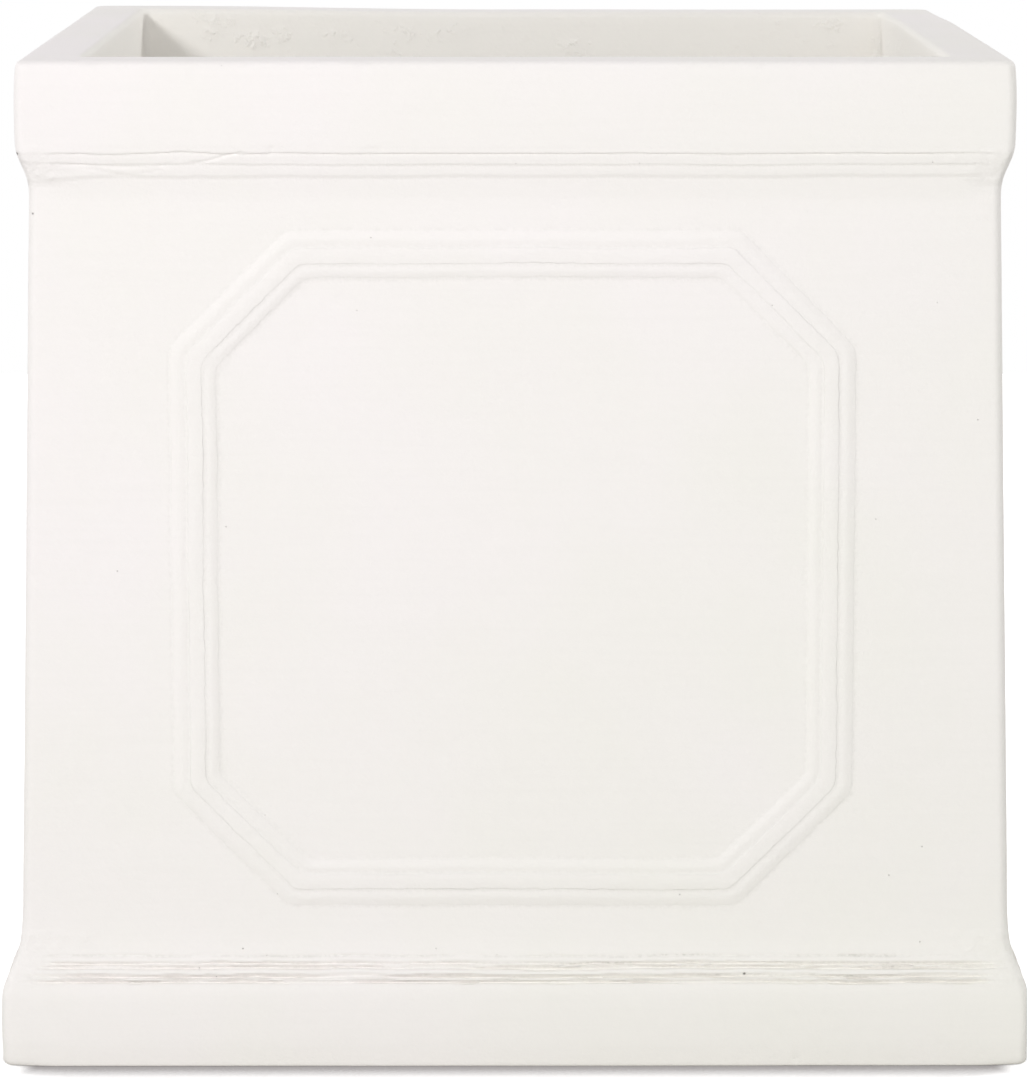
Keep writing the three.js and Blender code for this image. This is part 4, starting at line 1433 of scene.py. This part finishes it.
def corner_cove(name, turns):
    """The cove in the front right corner, turned to its own."""
    columns = []
    for z, reach_a, reach_b in zip(cove_heights, np.roll(wander_a, 9 * turns), wander_b):
        face = bend((COVE_BED, reach_a), (COVE_DRAW, COVE_DRAW), (reach_b, COVE_BED), 21)
        section = np.vstack([face, [[COVE_BED, COVE_BED]]])
        half = inside_at(z)
        columns.append([(half - q, p - half, z) for p, q in section])
    points = np.array(columns).transpose(1, 0, 2)
    rows, count = points.shape[:2]
    share = np.sin(np.linspace(0, math.pi, 21)) ** 0.5
    loose = np.repeat(np.append(share, 0)[:, None], count, 1)
    turned = quarter_turned(points.reshape(-1, 3), turns)
    return closed_mesh(name, turned, grid_faces(rows, count), loose)


for turns, corner_name in enumerate(CORNERS):
    strip = corner_cove("cove", turns)
    shape = grown("cove", strip, trowel_tree, {"Marks": mark_cloud, "Material": cement})
    handed_over(
        "corner_cove_strip_" + corner_name, shape, "corner_cove_" + corner_name
    )

# %% [markdown]
# The floor is a slab with a round hole in its middle. Its surface was floated by hand, so it is
# gently dished and streaked. Near the hole it stays flat, because the plug's flange has to seal.

# %% Floor slab
HOLE_RADIUS = 14.0
SLAB_BED = 0.3
turn = np.arange(192) / 192 * 2 * math.pi
to_square = 1 / np.maximum(np.abs(np.cos(turn)), np.abs(np.sin(turn)))
spread = np.array([0, 0.01, 0.025, 0.05] + list(np.linspace(0.08, 1, 44)))
section = [(0.0, SLAB_FOOT + 1.2), (0.0, SLAB_TOP - 1.2)]
section += [(f, SLAB_TOP) for f in spread + 0.006 * (spread == 0)]
section += [(1.0, SLAB_TOP - 4.6), (1.0, SLAB_TOP - 9.4)]
section += [(f, SLAB_FOOT) for f in np.linspace(1, 0.006, 26)]
rows = []
for f, z in section:
    edge = (inside_at(z) - SLAB_BED) * to_square
    radius = HOLE_RADIUS + f * (edge - HOLE_RADIUS)
    rows.append(np.stack([radius * np.cos(turn), radius * np.sin(turn), z + 0 * turn], -1))
points = np.array(rows)
from_middle = np.hypot(points[..., 0], points[..., 1])
loose = np.clip((from_middle - 22) / 12, 0, 1) * (np.array(section)[:, :1] < 0.97)
slab_mesh = closed_mesh("slab", points.reshape(-1, 3), ring_faces(len(section), 192), loose)
slab_values = {"Marks": mark_cloud, "Material": cement, "Lumps": 0.0011, "Seed": 11}
shape = grown("slab", slab_mesh, trowel_tree, slab_values)
handed_over("floor_slab_cast", shape, "floor_slab")

# %% [markdown]
# The floor cove runs once round the slab. It is a strip with the same hollow face, swept along a
# square whose corners are drawn rounder the further they are from the walls.

# %% Floor cove
FLOOR_COVE_REACH = 13.2
FLOOR_COVE_TOP = 47.4
face = bend((COVE_BED, FLOOR_COVE_TOP), (3.6, 38.0), (FLOOR_COVE_REACH, SLAB_TOP + 0.4), 15)
section = np.vstack([face, [[COVE_BED, SLAB_TOP + 0.2]]])
rows = []
for off, z in section:
    half, round_off = inside_at(z) - off, CORNER_RADIUS + off
    ring = []
    for turns in range(4):
        run = np.linspace(round_off - half, half - round_off, 92)
        sweep = np.radians(np.linspace(0, 90, 12))[1:-1]
        xs = np.concatenate([run, half - round_off + round_off * np.sin(sweep)])
        ys = np.concatenate([-half + 0 * run, round_off - half - round_off * np.cos(sweep)])
        ring.append(quarter_turned(np.stack([xs, ys, z + 0 * xs], -1), turns))
    rows.append(np.concatenate(ring))
points = np.array(rows)
share = np.append(np.sin(np.linspace(0, math.pi, 15)) ** 0.5, 0)
loose = np.repeat(share[:, None], points.shape[1], 1)
strip = closed_mesh("floor cove", points.reshape(-1, 3), ring_faces(*points.shape[:2]), loose)
shape = grown("floor cove", strip, trowel_tree, {"Marks": mark_cloud, "Material": cement})
handed_over("floor_cove_strip", shape, "floor_cove")

# %% [markdown]
# ## Glass-fibre mesh tape
# Before each corner was coved, a woven tape of glass fibre was bedded over the joint so that the
# corner can't crack open. Its edges still show on both sides of the cove. It is a plain weave:
# every upright strand goes over and under the level ones by turns. The tree lays the strands out
# flat, waves them, gives them thickness and then folds the sheet into the leaning corner.

# %% Glass fibre
fibre, t = new_material("woven glass fibre in slurry")
place = add(t, "ShaderNodeTexCoord", out="Object")
strands = add(t, "ShaderNodeTexNoise", {"Vector": place, "Scale": 1600.0, "Detail": 2.0})
tone = add(t, "ShaderNodeMapRange", {"Value": strands, "From Min": 0.35, "From Max": 0.65})
colour = add(
    t, "ShaderNodeMix", {0: tone, 6: linear("#E4E6DC"), 7: linear("#C8CBBE")}, out=2,
    data_type="RGBA",
)
clogged = add(t, "ShaderNodeTexNoise", {"Vector": place, "Scale": 60.0, "Detail": 3.0})
clogged = add(
    t, "ShaderNodeMapRange", {"Value": clogged, "From Min": 0.48, "From Max": 0.62}
)
colour = add(
    t, "ShaderNodeMix", {0: clogged, 6: colour, 7: linear("#D3CFC6")}, out=2, data_type="RGBA"
)
skin = add(t, "ShaderNodeMath", {0: strands, 1: 0.0002}, operation="MULTIPLY")
bump = add(t, "ShaderNodeBump", {"Strength": 1.0, "Distance": 1.0, "Height": skin})
shader = add(
    t, "ShaderNodeBsdfPrincipled",
    {"Base Color": colour, "Roughness": 0.6, "IOR": 1.5, "Normal": bump},
)
add(t, "ShaderNodeOutputMaterial", {"Surface": shader}, out=None)
print("glass fibre has", len(t.nodes), "nodes")

# %% The weaving tree
weave_tree, given = new_tree(
    "Woven corner tape",
    [
        ("Geometry", "Geometry"), ("Leg", "Float", 0.033), ("Low", "Float", 0.0485),
        ("High", "Float", 0.358), ("Pitch", "Float", 0.006), ("Strand Width", "Float", 0.0019),
        ("Strand Thickness", "Float", 0.0003), ("Weave", "Float", 0.00028),
        ("Inset", "Float", 0.0007), ("Wall At Ground", "Float", 0.19276),
        ("Lean", "Float", 0.02219), ("Seed", "Int", 2), ("Material", "Material"),
    ],
)
t = weave_tree
leg, low, pitch = given["Leg"], given["Low"], given["Pitch"]
tall = add(t, "ShaderNodeMath", {0: given["High"], 1: low}, operation="SUBTRACT")
wide = add(t, "ShaderNodeMath", {0: leg, 1: 2.0}, operation="MULTIPLY")
half_pitch = add(t, "ShaderNodeMath", {0: pitch, 1: 0.5}, operation="MULTIPLY")
first_level = add(t, "ShaderNodeMath", {0: low, 1: half_pitch}, operation="ADD")
middle = add(t, "ShaderNodeMath", {0: tall, 1: 0.5, 2: low}, operation="MULTIPLY_ADD")
left = add(t, "ShaderNodeMath", {0: leg, 1: -1.0}, operation="MULTIPLY")
place = add(t, "GeometryNodeInputPosition")
spot = add(t, "ShaderNodeSeparateXYZ", {0: place}, out=None).outputs
from_left = add(t, "ShaderNodeMath", {0: spot["X"], 1: leg}, operation="ADD")
from_left = add(t, "ShaderNodeMath", {0: from_left, 1: pitch}, operation="DIVIDE")
from_first = add(t, "ShaderNodeMath", {0: spot["Y"], 1: first_level}, operation="SUBTRACT")
from_first = add(t, "ShaderNodeMath", {0: from_first, 1: pitch}, operation="DIVIDE")

sheets = []
for upright in (True, False):
    length, run = (tall, wide) if upright else (wide, tall)
    count = add(t, "ShaderNodeMath", {0: run, 1: pitch}, operation="DIVIDE")
    count = add(t, "ShaderNodeMath", {0: count, 1: 1.0 if upright else 0.0}, operation="ADD")
    count = add(t, "ShaderNodeMath", {0: count}, operation="FLOOR")
    pieces = add(t, "ShaderNodeMath", {0: length, 1: half_pitch}, operation="DIVIDE")
    pieces = add(t, "ShaderNodeMath", {0: pieces, 1: 1.0}, operation="ADD")
    narrow = given["Strand Width"]
    sides = (narrow, length, 2, pieces) if upright else (length, narrow, pieces, 2)
    names = ("Size X", "Size Y", "Vertices X", "Vertices Y")
    strand = add(t, "GeometryNodeMeshGrid", dict(zip(names, sides)))
    start = {"X": left, "Y": middle} if upright else {"X": 0.0, "Y": first_level}
    start = add(t, "ShaderNodeCombineXYZ", start)
    pace = add(t, "ShaderNodeCombineXYZ", {"X" if upright else "Y": pitch})
    line = add(
        t, "GeometryNodeMeshLine", {"Count": count, "Start Location": start, "Offset": pace}
    )
    laid = add(t, "GeometryNodeInstanceOnPoints", {"Points": line, "Instance": strand})
    laid = add(t, "GeometryNodeRealizeInstances", {"Geometry": laid})
    own, other = (from_left, from_first) if upright else (from_first, from_left)
    number = add(t, "ShaderNodeMath", {0: own}, operation="ROUND")
    phase = add(t, "ShaderNodeMath", {0: number, 1: other}, operation="ADD")
    phase = add(t, "ShaderNodeMath", {0: phase, 1: math.pi}, operation="MULTIPLY")
    wave = add(t, "ShaderNodeMath", {0: phase}, operation="COSINE")
    wave = add(t, "ShaderNodeMath", {0: wave, 1: given["Weave"]}, operation="MULTIPLY")
    if not upright:
        wave = add(t, "ShaderNodeMath", {0: wave, 1: -1.0}, operation="MULTIPLY")
    wave = add(t, "ShaderNodeCombineXYZ", {"Z": wave})
    sheets.append(add(t, "GeometryNodeSetPosition", {"Geometry": laid, "Offset": wave}))

cloth = add(t, "GeometryNodeJoinGeometry", {"Geometry": sheets[0]}, out=None)
t.links.new(sheets[1], cloth.inputs["Geometry"])
cloth = cloth.outputs["Geometry"]
thick = add(
    t, "GeometryNodeExtrudeMesh",
    {"Mesh": cloth, "Offset": (0, 0, 1), "Offset Scale": given["Strand Thickness"], "Individual": False},
    mode="FACES",
)
under = add(t, "GeometryNodeFlipFaces", {"Mesh": cloth})
shut = add(t, "GeometryNodeJoinGeometry", {"Geometry": thick}, out=None)
t.links.new(under, shut.inputs["Geometry"])
shut = add(
    t, "GeometryNodeMergeByDistance", {"Geometry": shut.outputs["Geometry"], "Distance": 1e-6}
)
shift = add(t, "ShaderNodeCombineXYZ", {"Z": given["Seed"]})
drift = add(t, "ShaderNodeVectorMath", {0: place, 1: shift}, operation="ADD")
drift = add(t, "ShaderNodeTexNoise", {"Vector": drift, "Scale": 45.0, "Detail": 1.0}, out="Color")
drift = add(t, "ShaderNodeVectorMath", {0: drift, 1: (0.5, 0.5, 0.5)}, operation="SUBTRACT")
drift = add(t, "ShaderNodeVectorMath", {0: drift, 1: (0.003, 0.003, 0.0004)}, operation="MULTIPLY")
shut = add(t, "GeometryNodeSetPosition", {"Geometry": shut, "Offset": drift})
off_wall = add(t, "ShaderNodeMath", {0: spot["Z"], 1: given["Inset"]}, operation="ADD")
half = add(t, "ShaderNodeMath", {0: spot["Y"], 1: given["Lean"]}, operation="MULTIPLY")
half = add(t, "ShaderNodeMath", {0: given["Wall At Ground"], 1: half}, operation="SUBTRACT")
half = add(t, "ShaderNodeMath", {0: half, 1: off_wall}, operation="SUBTRACT")
on_front = add(t, "ShaderNodeMath", {0: spot["X"], 1: 0.0}, operation="MINIMUM")
on_side = add(t, "ShaderNodeMath", {0: spot["X"], 1: 0.0}, operation="MAXIMUM")
x = add(t, "ShaderNodeMath", {0: half, 1: on_front}, operation="ADD")
y = add(t, "ShaderNodeMath", {0: on_side, 1: half}, operation="SUBTRACT")
folded = add(t, "ShaderNodeCombineXYZ", {"X": x, "Y": y, "Z": spot["Y"]})
folded = add(t, "GeometryNodeSetPosition", {"Geometry": shut, "Position": folded})
real = add(t, "GeometryNodeRealizeInstances", {"Geometry": folded})
both = add(t, "GeometryNodeSetMaterial", {"Geometry": real, "Material": given["Material"]})
add(t, "NodeGroupOutput", {"Geometry": both}, out=None)
print("weaving tree has", len(t.nodes), "nodes")

# %% Four tapes
for turns, corner_name in enumerate(CORNERS):
    empty = bpy.data.meshes.new("tape")
    woven = grown("tape", empty, weave_tree, {"Seed": 2 + turns, "Material": fibre})
    count = len(woven.vertices)
    points = np.empty(count * 3, np.float32)
    woven.vertices.foreach_get("co", points)
    turned = quarter_turned(points.reshape(-1, 3), turns).astype(np.float32)
    woven.vertices.foreach_set("co", turned.ravel())
    if volume(woven) < 0:
        woven.flip_normals()
    handed_over(
        "woven_tape_" + corner_name, woven, "mesh_tape_" + corner_name
    )

# %% [markdown]
# ## The drain plug
# The plug is one piece of moulded black rubber: a flat flange that lies on the floor, a hollow
# tapered shank with three soft sealing rings, and a pull to lift it by. It is turned like a pot,
# from one outline.

# %% Rubber
rubber, t = new_material("moulded black rubber")
place = add(t, "ShaderNodeTexCoord", out="Object")
bloom = add(t, "ShaderNodeTexNoise", {"Vector": place, "Scale": 140.0, "Detail": 4.0})
bloom = add(
    t, "ShaderNodeMapRange", {"Value": bloom, "From Min": 0.45, "From Max": 0.75, "To Max": 0.5}
)
colour = add(
    t, "ShaderNodeMix", {0: bloom, 6: linear("#262626"), 7: linear("#4A4843")}, out=2,
    data_type="RGBA",
)
grain = add(t, "ShaderNodeTexNoise", {"Vector": place, "Scale": 2200.0, "Detail": 2.0})
matt = add(t, "ShaderNodeMapRange", {"Value": grain, "To Min": 0.5, "To Max": 0.7})
skin = add(t, "ShaderNodeMath", {0: grain, 1: 0.00006}, operation="MULTIPLY")
bump = add(t, "ShaderNodeBump", {"Strength": 1.0, "Distance": 1.0, "Height": skin})
shader = add(
    t, "ShaderNodeBsdfPrincipled",
    {"Base Color": colour, "Roughness": matt, "IOR": 1.52, "Normal": bump},
)
add(t, "ShaderNodeOutputMaterial", {"Surface": shader}, out=None)
print("rubber has", len(t.nodes), "nodes")

# %% Turning the plug
PLUG_SEAT = 34.6
PLUG_FOOT = 15.3
FLANGE_TOP = 37.6
GRIP_TOP = 46.6
SHANK_TOP, SHANK_FOOT = 13.6, 12.4
bore = [(SHANK_TOP - 3.5, PLUG_SEAT - 1.2), (SHANK_FOOT - 3.5, PLUG_FOOT + 0.5)]
lip = [(SHANK_FOOT - 3.1, PLUG_FOOT), (SHANK_FOOT - 0.6, PLUG_FOOT), (SHANK_FOOT - 0.1, PLUG_FOOT + 0.6)]
shank = []
for z in np.linspace(PLUG_FOOT + 1, PLUG_SEAT - 0.6, 60):
    plain = np.interp(z, [PLUG_FOOT, PLUG_SEAT], [SHANK_FOOT, SHANK_TOP]) - 0.35
    ring_near = min(abs(z - at) for at in (19.5, 24.5, 29.5))
    shank.append((plain + 0.35 * max(0, 1 - (ring_near / 1.1) ** 2), z))
flange = [(SHANK_TOP + 0.3, PLUG_SEAT), (18.4, PLUG_SEAT)]
flange += arc((18.0, FLANGE_TOP - 1.0), 1.0, -20, 90, 7)
flange += [(16.2, FLANGE_TOP), (15.8, FLANGE_TOP - 0.4), (14.6, FLANGE_TOP - 0.4), (14.2, FLANGE_TOP)]
neck = [(p[0], p[1]) for p in bend((6.2, FLANGE_TOP), (3.5, FLANGE_TOP), (3.5, FLANGE_TOP + 2.6), 7)]
head = [(3.5, FLANGE_TOP + 4.0)] + arc((4.6, GRIP_TOP - 1.9), 1.4, -80, 0, 6)
head += arc((4.6, GRIP_TOP - 1.4), 1.4, 0, 90, 7) + [(2.6, GRIP_TOP - 0.25)]
plug_outline = bore + lip + shank + flange + neck + head
COLUMNS = 96
turn = np.arange(COLUMNS) / COLUMNS * 2 * math.pi
points = [(r * math.cos(a), r * math.sin(a), z) for r, z in plug_outline for a in turn]
points += [(0, 0, PLUG_SEAT - 1.2), (0, 0, GRIP_TOP - 0.35)]
bottom, top, rows = len(points) - 2, len(points) - 1, len(plug_outline)
faces = [f for f in ring_faces(rows, COLUMNS) if max(f) - min(f) < (rows - 1) * COLUMNS - 1]
for j in range(COLUMNS):
    k = (j + 1) % COLUMNS
    faces.append((bottom, k, j))
    faces.append((top, (rows - 1) * COLUMNS + j, (rows - 1) * COLUMNS + k))
plug_mesh = closed_mesh("plug", points, faces)
plug_mesh.materials.append(rubber)
handed_over("drain_plug_rubber", plug_mesh, "drain_plug", body="drain_plug", sharp=50)

# %% The end: the marks are cleared away
bpy.data.objects.remove(mark_cloud)
